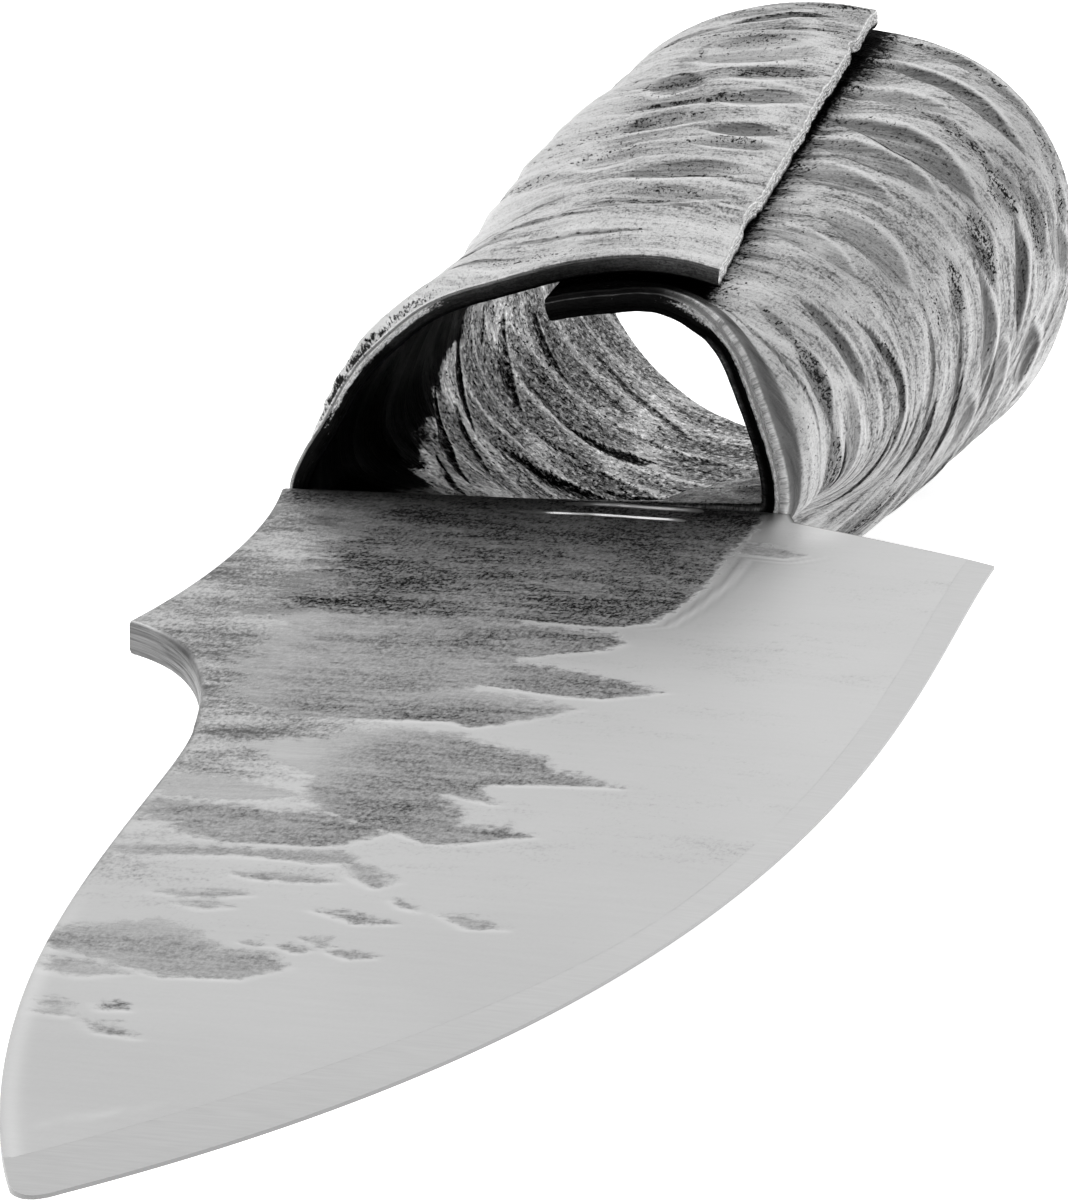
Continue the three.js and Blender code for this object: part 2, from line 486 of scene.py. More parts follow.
@dataclass(frozen=True)
class BladeFinish:
    """Satin ground metal with forge scale left in the hollows towards the neck and the spine, and painted highlights
    and shade carried by the lit values.
    """

    name: str
    ground: float
    streak: Grain = Grain(0.16, 0.55, 7.0, 0.68, turn=14.0)
    fine: Grain = Grain(1.3, 0.9, 6.0, 0.72, turn=12.0)
    grain: Grain = Grain(4.5, 2.2, 3.0, 0.7)
    cloud: Grain = Grain(0.06, 0.04, 3.0, 0.5)
    dash: Grain = Grain(0.7, 2.4, 4.0, 0.6, turn=6.0)
    brush: Grain = Grain(0.22, 1.3, 5.0, 0.7, turn=8.0)
    mottle: Grain = Grain(4.4, 1.7, 5.0, 0.8, turn=4.0)
    drift: Grain = Grain(0.17, 0.4, 7.0, 0.74, turn=9.0)
    broad: Grain = Grain(0.1, 0.15, 5.0, 0.6, turn=12.0)
    flecks: Grain = Grain(1.5, 1.0, 4.0, 0.66, turn=6.0)
    darkest: float = 0.95
    smear_tone: float = 0.36
    scale_rough: float = 0.55
    relief: float = 0.03

    def material(self) -> bpy.types.Material:
        """Wires the finish.

        Returns:
            The material.
        """
        wires = Wiring(self.name)
        place = wires.attribute("wrap", vector=True)
        lit = wires.attribute("lit")
        streak, fine, grain, cloud, dash, brush, mottle, drift, broad, flecks = (
            wires.noise(place, layer) for layer in (
                self.streak, self.fine, self.grain, self.cloud, self.dash,
                self.brush, self.mottle, self.drift, self.broad, self.flecks))

        wander = wires.plus(wires.swing(streak, 1.6), wires.swing(fine, 2.2))
        mask = wires.span(wires.plus(wires.attribute("scale"), wander), (-0.3, 0.4), (0.0, 1.0))

        dark = wires.attribute("dark")
        pits = wires.span(wires.plus(mottle, wires.swing(flecks, 0.4)), NOISE_MIDDLE, (1.56, 0.44))
        veins = wires.plus(broad, wires.plus(wires.swing(drift, 0.7), wires.swing(streak, 0.4)))
        veins = wires.span(veins, (0.28, 0.72), (1.26, 0.74))
        shade = wires.times(wires.times(dark, pits), veins)
        shade = wires.plus(shade, wires.plus(wires.swing(drift, -0.25), wires.swing(brush, -0.45)))
        specks = wires.times(wires.span(dash, (0.6, 0.72), (0.0, 0.42)), dark)
        shade = wires.math("MINIMUM", wires.plus(shade, specks), self.darkest)
        scale = wires.math("SUBTRACT", 1.0, shade)

        lines = wires.plus(wires.swing(broad, 2.2), wires.swing(drift, 1.5))
        lines = wires.plus(lines, wires.plus(wires.swing(mottle, 2.8), wires.swing(flecks, 0.8)))
        smear = wires.span(wires.plus(lines, wires.attribute("spine")), (0.1, 1.5), (0.0, 1.0))
        sheen = wires.plus(1.0, wires.swing(cloud, 0.16))
        sheen = wires.plus(sheen, wires.swing(grain, 0.1))
        sheen = wires.plus(sheen, wires.swing(brush, 0.12))
        bare = wires.times(sheen, wires.blend(smear, 1.0, self.smear_tone))
        # Painted highlights and shade from the lit values.
        bare = wires.times(bare, wires.plus(1.0, lit))

        tone = wires.times(wires.blend(mask, bare, scale), self.ground)
        # The strongest painted highlights are pushed brighter still.
        tone = wires.times(tone, wires.span(lit, (0.9, 1.7), (1.0, 2.4)))
        walled = wires.span(wires.noise(place, WALL_GRAIN), NOISE_MIDDLE, WALL_TONES)
        tone = wires.blend(wires.attribute("wall"), tone, walled)
        rough = wires.blend(mask, wires.span(cloud, NOISE_MIDDLE, (0.36, 0.44)), self.scale_rough)
        height = wires.plus(wires.times(streak, 0.6), wires.plus(fine, grain))
        wires.finish(tone, rough, wires.times(height, wires.blend(mask, 0.05, 1.0)), self.relief)
        # Where the painted highlights are strongest the metal turns diffuse, so that they stay bright.
        wires.put(wires.surface.inputs["Metallic"], wires.span(lit, (0.45, 1.2), (1.0, 0.1)))
        return wires.material


@dataclass(frozen=True)
class CoreFinish:
    """Hard steel, ground a shade darker than its cladding, with fine sharpening lines."""

    name: str
    tone: float
    lines: Grain = Grain(0.4, 3.0, 5.0, 0.6, turn=35.0)
    cloud: Grain = Grain(0.15, 0.08, 4.0, 0.6, turn=20.0)
    relief: float = 0.002

    def material(self) -> bpy.types.Material:
        """Wires the finish.

        Returns:
            The material.
        """
        wires = Wiring(self.name)
        place = wires.attribute("wrap", vector=True)
        lines, cloud = wires.noise(place, self.lines), wires.noise(place, self.cloud)
        shade = wires.times(wires.span(lines, (0.25, 0.75), (0.95, 1.05)),
                            wires.span(cloud, NOISE_MIDDLE, (0.96, 1.04)))
        # Painted shade towards the tip, carried by the lit values.
        shade = wires.times(shade, wires.plus(1.0, wires.attribute("lit")))
        walled = wires.span(wires.noise(place, WALL_GRAIN), NOISE_MIDDLE, WALL_TONES)
        tone = wires.blend(wires.attribute("wall"), wires.times(shade, self.tone), walled)
        rough = wires.span(cloud, (0.2, 0.8), (0.36, 0.46))
        wires.finish(tone, rough, lines, self.relief)
        wires.surface.inputs["Metallic"].default_value = 1.0
        return wires.material


@dataclass(frozen=True)
class HandleFinish:
    """Hammered iron: polished ridges, dark scale in the hollows, streaks round the tube; painted highlights on lit
    crests and the spine-side flank, painted shadow along mark borders, under the seam and on the tucked flap, and
    painted shade inside the tube.
    """

    name: str
    bright: float
    mid: float
    stain_and_shadow: float
    dark: float
    # Tone of the painted shadow and shade.
    black: float = 0.014
    rim_black: float = 0.012
    streak: Grain = Grain(0.1, 0.5, 6.0, 0.68, warp=0.3)
    line: Grain = Grain(0.14, 1.6, 4.0, 0.62)
    fine: Grain = Grain(1.6, 0.8, 5.0, 0.72)
    grain: Grain = Grain(5.0, 1.3, 3.0, 0.75)
    dash: Grain = Grain(2.4, 1.25, 3.0, 0.78)
    relief: float = 0.1

    def material(self) -> bpy.types.Material:
        """Wires the finish.

        Returns:
            The material.
        """
        wires = Wiring(self.name)
        wrap = wires.attribute("wrap", vector=True)
        inside = wires.attribute("inside")
        streak, line, fine, grain, dash = (
            wires.noise(wrap, layer) for layer in (self.streak, self.line, self.fine, self.grain, self.dash))
        speckle = wires.plus(wires.swing(fine, 2.1), wires.swing(grain, 2.3))
        specks = wires.times(speckle, 1.3)

        lift = wires.plus(wires.swing(streak, 2.0), wires.swing(line, 0.8))
        lift = wires.plus(wires.times(lift, wires.blend(inside, 1.0, 0.45)), speckle)
        # Ridge values hold polished ridges and painted highlights on lit crests and the spine-side flank.
        lift = wires.plus(wires.attribute("ridge"), lift)
        tone = wires.span(lift, (-0.6, 1.2), (self.mid, self.bright))
        # Hollows take dark scale, plus painted shadow along the unlit borders of the marks.
        stain = wires.plus(wires.swing(streak, 0.8), wires.times(speckle, 0.6))
        hollow = wires.span(wires.plus(wires.attribute("hollow"), stain), (0.02, 0.85), (0.0, 1.0))
        tone = wires.blend(hollow, tone, self.stain_and_shadow)

        patch = wires.plus(wires.attribute("pitted"), wires.swing(streak, 1.4))
        holes = wires.span(wires.plus(patch, specks), (0.42, 1.0), (0.0, 1.0))
        tone = wires.blend(holes, tone, self.dark)
        scored = wires.times(wires.span(dash, (0.53, 0.66), (0.0, 0.85)), wires.blend(inside, 0.25, 1.0))
        tone = wires.blend(scored, tone, wires.times(tone, 0.25))
        glint = wires.times(wires.span(dash, (0.48, 0.36), (0.0, 1.0)), inside)
        # Inside the tube the tone is painted darker as shade, with white glint specks.
        tone = wires.times(tone, wires.plus(wires.blend(inside, 1.0, 0.72), glint))

        # Painted shadow and shade, speckled at its border, turns the tone near black.
        shadowed = wires.plus(wires.attribute("painted_shadow"), wires.times(specks, 0.6))
        tone = wires.blend(wires.span(shadowed, (0.35, 1.0), (0.0, 1.0)), tone, self.black)
        plain = wires.attribute("smooth")
        tone = wires.blend(plain, tone, wires.span(streak, NOISE_MIDDLE, (0.095, 0.13)))

        rim = wires.attribute("rim")
        torn = wires.plus(wires.attribute("burr"), wires.times(specks, 0.45))
        burr = wires.times(rim, wires.span(torn, (0.3, 0.8), (0.0, 1.0)))
        chipped = wires.span(specks, (-0.5, 0.4), (0.45, 1.0))
        face = wires.blend(plain, self.rim_black, wires.span(specks, (-0.7, 0.7), (0.16, 0.05)))
        tone = wires.blend(rim, tone, wires.blend(burr, face, chipped))

        rough = wires.blend(holes, wires.span(lift, (-0.3, 0.9), (0.42, 0.3)), 0.6)
        height = wires.plus(wires.times(streak, 1.2), wires.plus(fine, line))
        height = wires.plus(height, wires.times(grain, 0.4))
        height = wires.plus(height, wires.times(holes, -0.35))
        wires.finish(tone, rough, height, self.relief)
        bared = wires.math("MAXIMUM", burr, wires.times(rim, plain))
        wires.put(wires.surface.inputs["Metallic"], wires.math("SUBTRACT", 1.0, wires.times(bared, 0.95)))
        return wires.material


@dataclass
class BladePlan:
    """Outline of the blade seen from its face, and its thickness."""

    length: float = 165.8
    tip_offset: float = 10.15
    tip_radius: float = 1.2
    neck_to_spine: float = 16.4
    waist_to_spine: float = 14.1
    corner_to_spine: float = 15.7
    corner_from_mouth: float = 43.0
    notch_to_spine: float = 5.3
    notch_length: float = 27.0
    heel_to_edge: float = 31.0
    heel_from_mouth: float = 11.0
    edge_swell: float = 9.02
    neck_to_root: float = 16.4
    root_step: float = 2.7
    fit_gap: float = 0.3
    spine_half: float = 1.05
    core_half: float = 0.25
    edge_half: float = 0.1
    grind_width: float = 26.0
    heel_band: float = 1.8
    tip_band: float = 5.4
    lip: float = 0.001

    def __post_init__(self) -> None:
        """Samples the spine and the edge from the mouth to the tip."""
        neck = (-self.neck_to_spine, -self.fit_gap)
        corner = (-self.corner_to_spine, -self.corner_from_mouth)
        notch = (-self.notch_to_spine, corner[1] - self.notch_length)
        foot = self.tip_radius - self.length
        tip_spine = (self.tip_offset - self.tip_radius, foot)
        tip_edge = (self.tip_offset + self.tip_radius, foot)
        tip_end = (self.tip_offset, foot - 2.0 * self.tip_radius)
        heel = (self.heel_to_edge, -self.heel_from_mouth)
        waist = [(-self.waist_to_spine, neck[1] + part * (corner[1] - neck[1])) for part in (0.32, 0.7)]
        hollow = (notch[0] - 3.4, corner[1] + 0.23 * (notch[1] - corner[1]))
        drop = [
            (notch[0] + across * (tip_spine[0] - notch[0]), notch[1] + along * (foot - notch[1]))
            for across, along in ((0.194, 0.132), (0.112, 0.619))
        ]
        swell = [
            (heel[0] + part * self.edge_swell, heel[1] + along * (foot - heel[1]))
            for part, along in ((0.06, 0.241), (1.0, 0.703))
        ]
        tip = bezier([tip_spine, tip_end, tip_edge], 41)
        self.spine_line = np.vstack([
            bezier([neck, waist[0], waist[1], corner], 120),
            bezier([corner, hollow, notch], 120)[1:],
            bezier([notch, drop[0], drop[1], tip_spine], 200)[1:],
            tip[1:21],
        ])
        self.edge_line = np.vstack([bezier([heel, swell[0], swell[1], tip_edge], 400), tip[20:-1][::-1]])
        self.step = (self.neck_to_root + 0.3 * self.root_step, -self.fit_gap - self.root_step)
        self.tip_y = float(self.spine_line[-1, 1])
        self.heel = heel
        self.corner = corner

    def spine(self, y: Floats) -> Floats:
        """Sideways place of the spine at each distance from the mouth."""
        return np.interp(-y, -self.spine_line[:, 1], self.spine_line[:, 0])

    def edge(self, y: Floats) -> Floats:
        """Sideways place of the cutting edge, run straight on behind the heel.

        Args:
            y: Places along the blade.

        Returns:
            Sideways places.
        """
        first, second = self.edge_line[0], self.edge_line[4]
        slope = (first[0] - second[0]) / (first[1] - second[1])
        behind = first[0] + slope * (y - first[1])
        return np.where(y > first[1], behind, np.interp(-y, -self.edge_line[:, 1], self.edge_line[:, 0]))

    def border(self, y: Floats) -> Floats:
        """Sideways place of the blade's right border: the edge, then the back of the heel.

        Args:
            y: Places along the blade.

        Returns:
            Sideways places.
        """
        back_y = [-self.heel[1], -self.step[1], self.fit_gap]
        back = np.interp(-y, back_y[::-1], [self.neck_to_root, self.step[0], self.heel[0]])
        return np.where(y > self.heel[1], back, self.edge(y))

    def depth(self, x: Floats, y: Floats) -> Floats:
        """Distance of each point from the cutting edge, square to it.

        Args:
            x: Sideways places.
            y: Places along the blade.

        Returns:
            Distances into the blade.
        """
        return (self.edge(y) - x) / self.slant(y)

    def slant(self, y: Floats) -> Floats:
        """How much longer the cutting edge is than the stretch of blade that it runs along."""
        return np.sqrt(1.0 + (self.edge(y + 0.5) - self.edge(y - 0.5))**2)

    def band(self, y: Floats) -> Floats:
        """Width of the bare core along the cutting edge."""
        share = np.clip((-y - self.heel_from_mouth) / (self.length - self.heel_from_mouth), 0.0, 1.0)
        return self.heel_band + (self.tip_band - self.heel_band) * smooth_rise(share, 0.6, 1.0)

    def half_thickness(self, depth: Floats, band: Floats) -> Floats:
        """Half thickness of the whole blade over the cladding.

        Args:
            depth: Distance from the cutting edge.
            band: Width of the bare core there.

        Returns:
            Half thicknesses.
        """
        rise = (self.core_half + self.lip - self.edge_half) / (self.spine_half - self.edge_half)
        power = math.log(rise) / np.log(band / self.grind_width)
        share = np.clip(depth / self.grind_width, 1e-4, 1.0)
        return self.edge_half + (self.spine_half - self.edge_half) * share**power

    def rows(self, step: float) -> Floats:
        """Places along the blade for rows of points, with the corner, heel and tip among them.

        Args:
            step: Even spacing of the rows.

        Returns:
            Places from the mouth to the tip.
        """
        ends = [-self.fit_gap, self.step[1], self.heel[1], self.corner[1], self.tip_y]
        places = [spaced(a - b, step, 0.1) for a, b in zip(ends, ends[1:])]
        return np.unique(np.concatenate([a - part for a, part in zip(ends, places)]).round(4))[::-1]


@dataclass(frozen=True)
class Scoop:
    """A shallow hammered hollow that the grinding left dark."""

    outline: tuple[tuple[float, float], ...]
    dark: float
    depth: float = 0.05
    top: tuple[float, float] | None = None
    left: tuple[float, float] | None = None

    def shade(self, x: Floats, y: Floats) -> Floats:
        """Darkness of the scale, faded towards the hollow's shallow side.

        Args:
            x: Sideways places.
            y: Places along the blade.

        Returns:
            Darkness from 0 to 1.
        """
        shade = np.full(x.shape, self.dark)
        if self.top:
            shade = shade * (0.2 + 0.8 * smooth_rise(-y, -self.top[0], -self.top[1]))
        if self.left:
            shade = shade * smooth_rise(x, self.left[0], self.left[1])
        return shade


SCOOPS = (
    Scoop(((-19, 3), (15, 3), (15.2, -13), (15.4, -23), (15.0, -31), (14.4, -36.5), (12, -38.6), (4, -38.2),
           (-4, -40), (-9, -39), (-9, -33), (-8, -27), (-10, -20), (-9, -13), (-12, -8), (-19, 0)),
          0.8, 0.09, None, (-19, -6)),
    Scoop(((-18, 2), (-8, 2), (-3, -3), (-7, -9.4), (-11, -9.8), (-14.5, -6), (-18, -3)), 0.66, 0.06),
    Scoop(((15, -10), (17.8, -11), (19.5, -13), (18.5, -14.5), (16, -14.2)), 0.45, 0.03),
    Scoop(((-7, -37), (7, -37), (9, -50), (8, -60), (5, -66.5), (-2.5, -65), (-6, -55)), 0.5, 0.02, None, (-13, 1)),
    Scoop(((-4, -38.5), (4, -38.6), (12.8, -39.6), (13.9, -42.4), (13, -45), (10, -47.6), (7, -50), (0, -50.4),
           (-3, -52)), 0.62, 0.07, None, (-12, 2)),
    Scoop(((3, -49), (9, -49.6), (13, -51), (16, -53), (18.6, -55), (15.6, -58), (13.4, -58.1), (9, -56.8), (4, -57),
           (-3, -55)), 0.58, 0.05, None, (-3, 10)),
    Scoop(((-2, -56), (8, -57.4), (14.9, -61), (12, -65.6), (10, -67.6), (8.5, -66.6), (5, -67.1), (1, -67),
           (-2.5, -65), (-5, -61)), 0.55, 0.07, (-57, -63), (-12, 2)),
    Scoop(((-1.3, -75.1), (0.9, -72.3), (2.9, -72.8), (3.6, -70.7), (6.4, -69.3), (9.7, -69.6), (13.9, -72.8),
           (15.4, -73.5), (16.6, -76.9), (18.1, -77.3), (20.7, -79.7), (18, -80.2), (13.7, -81.3), (14, -83.4),
           (15.1, -85.8), (11.8, -84.3), (12.5, -85.6), (14, -88.2), (14.3, -90.8), (15.5, -91.6), (16.4, -90.7),
           (18.5, -92.5), (16.1, -94.7), (14.5, -95.8), (13.4, -95.7), (12.3, -94.6), (11, -93.9), (9.7, -93.3),
           (6.8, -90.2), (5.4, -88.1), (4.5, -85.1), (4.6, -82.5), (2.7, -80.1), (0.7, -77.8)),
          0.56, 0.06, (-66, -73), (0, 9)),
    Scoop(((-3.5, -86.5), (-2.5, -83.7), (0.1, -83.3), (3.4, -85.3), (4.3, -87.2), (2.5, -88.6), (-0.7, -88.6)),
          0.2, 0.03),
    Scoop(((-3.2, -91.4), (-2.4, -90), (-0.2, -89.8), (2.5, -90.3), (4.7, -91), (6.1, -90.3), (8.2, -91.6),
           (10.1, -93), (11.1, -94.2), (10.3, -95.8), (9.5, -97.4), (8.6, -98.3), (5.1, -98.7), (3.3, -98.6),
           (1.4, -97.4), (-0.8, -94.8)), 0.5, 0.06),
    Scoop(((-2.1, -101.5), (-1.3, -100.1), (1.2, -99.4), (3.6, -99.8), (7.1, -99.7), (9.6, -98.9), (10.8, -100.1),
           (10.7, -101.6), (9.4, -102), (7.6, -101.7), (4.6, -101.5), (-0.8, -102.3)), 0.36, 0.05),
    Scoop(((5.6, -105.6), (7.4, -104.8), (9.2, -105.1), (10.7, -105.7), (9, -106.2), (6.8, -106.3)), 0.42, 0.03),
    Scoop(((2.7, -110.3), (4.5, -110), (5.8, -109.2), (7.2, -109.7), (5.7, -110.8), (4, -111.1)), 0.36, 0.02),
    Scoop(((10.4, -100.8), (12, -102.4), (13.9, -104.6), (13, -106.3), (11.5, -104.5)), 0.36, 0.03),
    Scoop(((11.2, -111.9), (13.4, -111.8), (15.4, -113.4), (13.8, -113.9)), 0.52, 0.03),
    Scoop(((17.4, -110.6), (19.2, -110.9), (21.2, -112.6), (19.4, -113.1)), 0.4, 0.02),
    Scoop(((4.4, -112.5), (5.6, -112), (6.8, -112.6), (5.6, -113.4)), 0.4, 0.02),
    Scoop(((14.6, -108.5), (15.4, -109), (16.2, -110.4), (15.4, -110)), 0.5, 0.02),
    Scoop(((9.1, -119.4), (9.9, -119), (10.5, -119.8), (9.8, -120.2)), 0.44, 0.02),
    Scoop(((10.7, -119.7), (11.5, -118.9), (12.7, -119.8), (12, -120.6)), 0.44, 0.02),
    Scoop(((12, -117.9), (13, -117.7), (13.9, -118.8), (13.1, -119.2)), 0.44, 0.02),
    Scoop(((13.8, -119.9), (14.7, -119.6), (16, -120.3), (14.9, -120.9)), 0.5, 0.02),
    Scoop(((-2, -120), (4, -116.2), (6, -118), (8, -120.4), (11, -121), (12.4, -123.4), (10.6, -126.5),
           (7, -127.2), (3, -124.8), (-2, -121.5)), 0.4, 0.05, (-114, -121), None),
    Scoop(((0.5, -125), (3, -125.4), (5, -127), (3, -128.2), (0.5, -127)), 0.34, 0.02),
    Scoop(((5.2, -132.9), (6.2, -132.8), (6.7, -133.8), (5.7, -134)), 0.7, 0.02),
    Scoop(((5.4, -136.4), (6.8, -136.6), (8.4, -138.6), (6.6, -138.2)), 0.44, 0.02),
    Scoop(((2.4, -133), (3.6, -133.2), (4.2, -135.6), (3, -135.2)), 0.3, 0.02),
)


def border_distance(x: Floats, y: Floats, outline: tuple[tuple[float, float], ...]) -> Floats:
    """Signed distance to a closed outline.

    Args:
        x: Sideways places.
        y: Places along the blade.
        outline: Corners of the outline in order.

    Returns:
        Distances, positive inside.
    """
    best = np.full(x.shape, 1e9)
    inside = np.zeros(x.shape, bool)
    for (ax, ay), (bx, by) in zip(outline, outline[1:] + outline[:1]):
        ex, ey = bx - ax, by - ay
        part = np.clip(((x - ax) * ex + (y - ay) * ey) / (ex * ex + ey * ey), 0.0, 1.0)
        best = np.minimum(best, np.hypot(x - ax - part * ex, y - ay - part * ey))
        if ay != by:
            crosses = (ay > y) != (by > y)
            inside ^= crosses & (x < ax + (y - ay) * ex / ey)
    return np.where(inside, best, -best)


@dataclass(frozen=True)
class Crease:
    """A low line across the neck: its place along the blade, its two ends and its height."""

    along: float
    start: float
    end: float
    height: float
    width: float = 0.34

    def rise(self, x: Floats, y: Floats) -> Floats:
        """Height of the crease.

        Args:
            x: Sideways places.
            y: Places along the blade.

        Returns:
            Heights.
        """
        reach = Window(self.start - 4.0, self.start + 0.5, self.end - 0.5, self.end + 0.8).at(x)
        bend = self.along + 0.2 * ripple(x / 3.0, 0.0 * x, Seed.CREASE)
        return self.height * reach * np.exp(-0.5 * ((y - bend) / self.width)**2)


# Stretches of the blade in millimetres, across it or, in names with RUN, from the mouth towards the tip.
BROW_RUN = Window(12.0, 16.0, 36.0, 40.0)
HEEL_FOOT = Window(15.4, 16.4, 18.5, 22.0)
TIP_STREAK = Window(6.8, 8.8, 10.2, 13.6)
WALL_FADE = (90.0, 125.0)


@dataclass
class Blade:
    """The three forge-welded layers of the blade."""

    plan: BladePlan = field(default_factory=BladePlan)
    row_step: float = 0.32
    columns: int = 140
    arris: float = 0.3
    least_width: float = 0.15
    edge_margin: float = 7.0
    creases: tuple[Crease, ...] = (Crease(-1.3, 5.0, 10.6, 0.04), Crease(-4.6, 2.6, 10.2, 0.035))
    finish: BladeFinish = BladeFinish("ground_and_scale", 0.338)
    core_finish: CoreFinish = CoreFinish("core_steel", 0.325)

    def grid(self, inner: Floats, outer: Floats, y: Floats) -> tuple[Floats, Floats, Floats]:
        """Lays rows of points across the blade.

        Args:
            inner: Where each row starts.
            outer: Where each row ends.
            y: Place of each row along the blade.

        Returns:
            Sideways places, places along the blade, and distance to the nearest border.
        """
        share = np.concatenate([[0.0, 0.002, 0.005, 0.01], np.linspace(0.016, 0.984, self.columns),
                                [0.99, 0.995, 0.998, 1.0]])
        x = inner[:, None] + (outer - inner)[:, None] * share[None, :]
        along = np.repeat(y[:, None], len(share), axis=1)
        margin = np.minimum(x - inner[:, None], outer[:, None] - x)
        margin = np.minimum(margin, np.minimum(-self.plan.fit_gap - along, along - self.plan.tip_y))
        return x, along, np.maximum(margin, 0.0)

    def slab(self, x: Floats, y: Floats, top: Floats, bottom: Floats) -> tuple[Floats, list[list[int]]]:
        """Closes two surfaces over one grid into a solid.

        Args:
            x: Sideways places of the grid.
            y: Places along the blade of the grid.
            top: Heights of the upper surface.
            bottom: Heights of the lower surface.

        Returns:
            Points, upper ones first, and faces.
        """
        rows, columns = x.shape
        count = rows * columns
        index = np.arange(count).reshape(rows, columns)
        upper = np.stack([index[:-1, :-1], index[1:, :-1], index[1:, 1:], index[:-1, 1:]], -1).reshape(-1, 4)
        loop = np.concatenate([index[0, :-1], index[:-1, -1], index[-1, :0:-1], index[:0:-1, 0]])
        ahead = np.roll(loop, -1)
        wall = np.stack([loop, ahead, ahead + count, loop + count], -1)
        faces = np.concatenate([upper, upper[:, ::-1] + count, wall])
        points = np.concatenate([
            np.stack([x, y, top], -1).reshape(-1, 3),
            np.stack([x, y, bottom], -1).reshape(-1, 3),
        ])
        return points, faces.tolist()

    def scale_values(self, x: Floats, y: Floats) -> tuple[Floats, Floats, Floats]:
        """Works out where forge scale is left, how dark it is and how deep its hollows are.

        Args:
            x: Sideways places.
            y: Places along the blade.

        Returns:
            Signed distance into the scale, darkness from 0 to 1 with painted shade just in front of the mouth, and
            depth.
        """
        best = np.full(x.shape, -9.0)
        total = np.full(x.shape, 1e-6)
        shade = np.zeros(x.shape)
        sunk = np.zeros(x.shape)
        for scoop in SCOOPS:
            gap = border_distance(x, y, scoop.outline)
            weight = np.exp(np.clip(gap, -12.0, 4.0) / 0.5)
            total += weight
            shade += weight * scoop.shade(x, y)
            best = np.maximum(best, gap)
            sunk = np.maximum(sunk, 0.5 * scoop.depth * smooth_rise(gap, -0.4, 1.4))
        # Painted shade on the neck just in front of the handle's mouth.
        mouth = 0.1 * fall(-y, 4.0, 14.0)
        crest = np.clip(self.mouth_ridges(x, y) / 0.03, 0.0, 1.0)
        soft = 0.2 + 0.8 * smooth_rise(x, -5.0, 9.0)
        return soft * best - 14.0 * crest, np.clip(0.76 * shade / total + mouth, 0.0, 0.93), sunk

    def mouth_ridges(self, x: Floats, y: Floats) -> Floats:
        """Heights of the low creases across the neck, just in front of the mouth."""
        return sum(crease.rise(x, y) for crease in self.creases)

    def sheen(self, x: Floats, y: Floats, inner: Floats, scale: Floats, steep: Floats) -> Floats:
        """Painted light and shade on the bare metal: painted highlights along the lower rims of the scale, on the
        creases at the mouth, along the spine near the tip and on the heel's foot, painted light and shade bands
        along the scale's border at the brow, painted shade towards the tip, and a lighter streak near the tip.

        Args:
            x: Sideways places.
            y: Places along the blade.
            inner: Sideways place of the spine in each row.
            scale: Signed distance into the forge scale.
            steep: How fast that distance grows along the blade.

        Returns:
            Changes of the tone, above zero where it is lighter.
        """
        # Painted highlight along the lower rims of the scale, and painted shade towards the tip.
        lit = 0.24 * np.clip(steep, 0.0, 1.0) * bell(scale, -0.35, 0.35) - 0.15 * smooth_rise(-y, 50.0, 150.0)
        # Painted light and shade bands along the scale's border at the brow.
        brow = smooth_rise(x, 12.5, 14.5) * BROW_RUN.at(-y)
        lit = lit - 0.3 * brow * np.sin(scale * 6.0) * bell(scale, -1.0, 0.8)
        # Painted highlight along the spine's arris near the tip.
        spine_highlight = bell(x - inner[:, None], 0.5, 0.5) * smooth_rise(-y, 105.0, 130.0)
        broken = np.clip(0.9 + 0.6 * ripple(x / 1.1, y / 2.5, Seed.GLINT), 0.3, 1.2)
        broken = broken * (1.0 - 0.8 * smooth_rise(x, 8.5, 11.2))
        # Painted highlight on the creases at the mouth.
        glint = smooth_rise(self.mouth_ridges(x, y), 0.012, 0.034)
        lit = lit + 0.2 * spine_highlight + 2.1 * glint * broken
        # Painted highlight on the heel's foot beside the mouth.
        foot = HEEL_FOOT.at(x) * fall(-y, 3.0, 13.0)
        lit = lit + 0.8 * foot * fall(scale, -0.6, 0.2)
        middle = -151.8 + 1.096 * (x - 10.2) + 0.8 * ripple(x / 2.5, 0.0 * x, Seed.TIP_LINE)
        streak = bell(y, middle, 0.9) * TIP_STREAK.at(x)
        return lit + 0.1 * streak * (0.6 + ripple(x / 0.8, y / 3.0, Seed.TIP_STREAK))

    def wall(self, margin: Floats, points: Floats) -> Floats:
        """Where the dark cut wall of the spine shows, fading towards the tip.

        Args:
            margin: 1 on the wall and 0 off it.
            points: Points of the layer.

        Returns:
            Values from 0 to 1.
        """
        shown = margin * fall(-points[:, 1], *WALL_FADE)
        return np.where(points[:, 0] > self.plan.edge(points[:, 1]) - self.edge_margin, 0.0, shown)

    def cladding(self, side: Side) -> Skin:
        """Builds one outer layer.

        Args:
            side: Which face it lies on.

        Returns:
            Its skin.
        """
        plan = self.plan
        y = plan.rows(self.row_step)
        band, inner = plan.band(y), plan.spine(y)
        lower = np.minimum(plan.edge(y) - band * plan.slant(y), plan.border(y))
        keep = lower - inner > self.least_width
        y, band, lower, inner = y[keep], band[keep], lower[keep], inner[keep]
        x, along, margin = self.grid(inner, lower, y)
        scale, dark, sunk = self.scale_values(x, along)
        steep = np.gradient(scale, y, axis=0)
        scale = scale * (1.0 - 0.6 * np.clip(-steep, 0.0, 1.0) * fall(np.abs(scale), 2.0, 6.0))

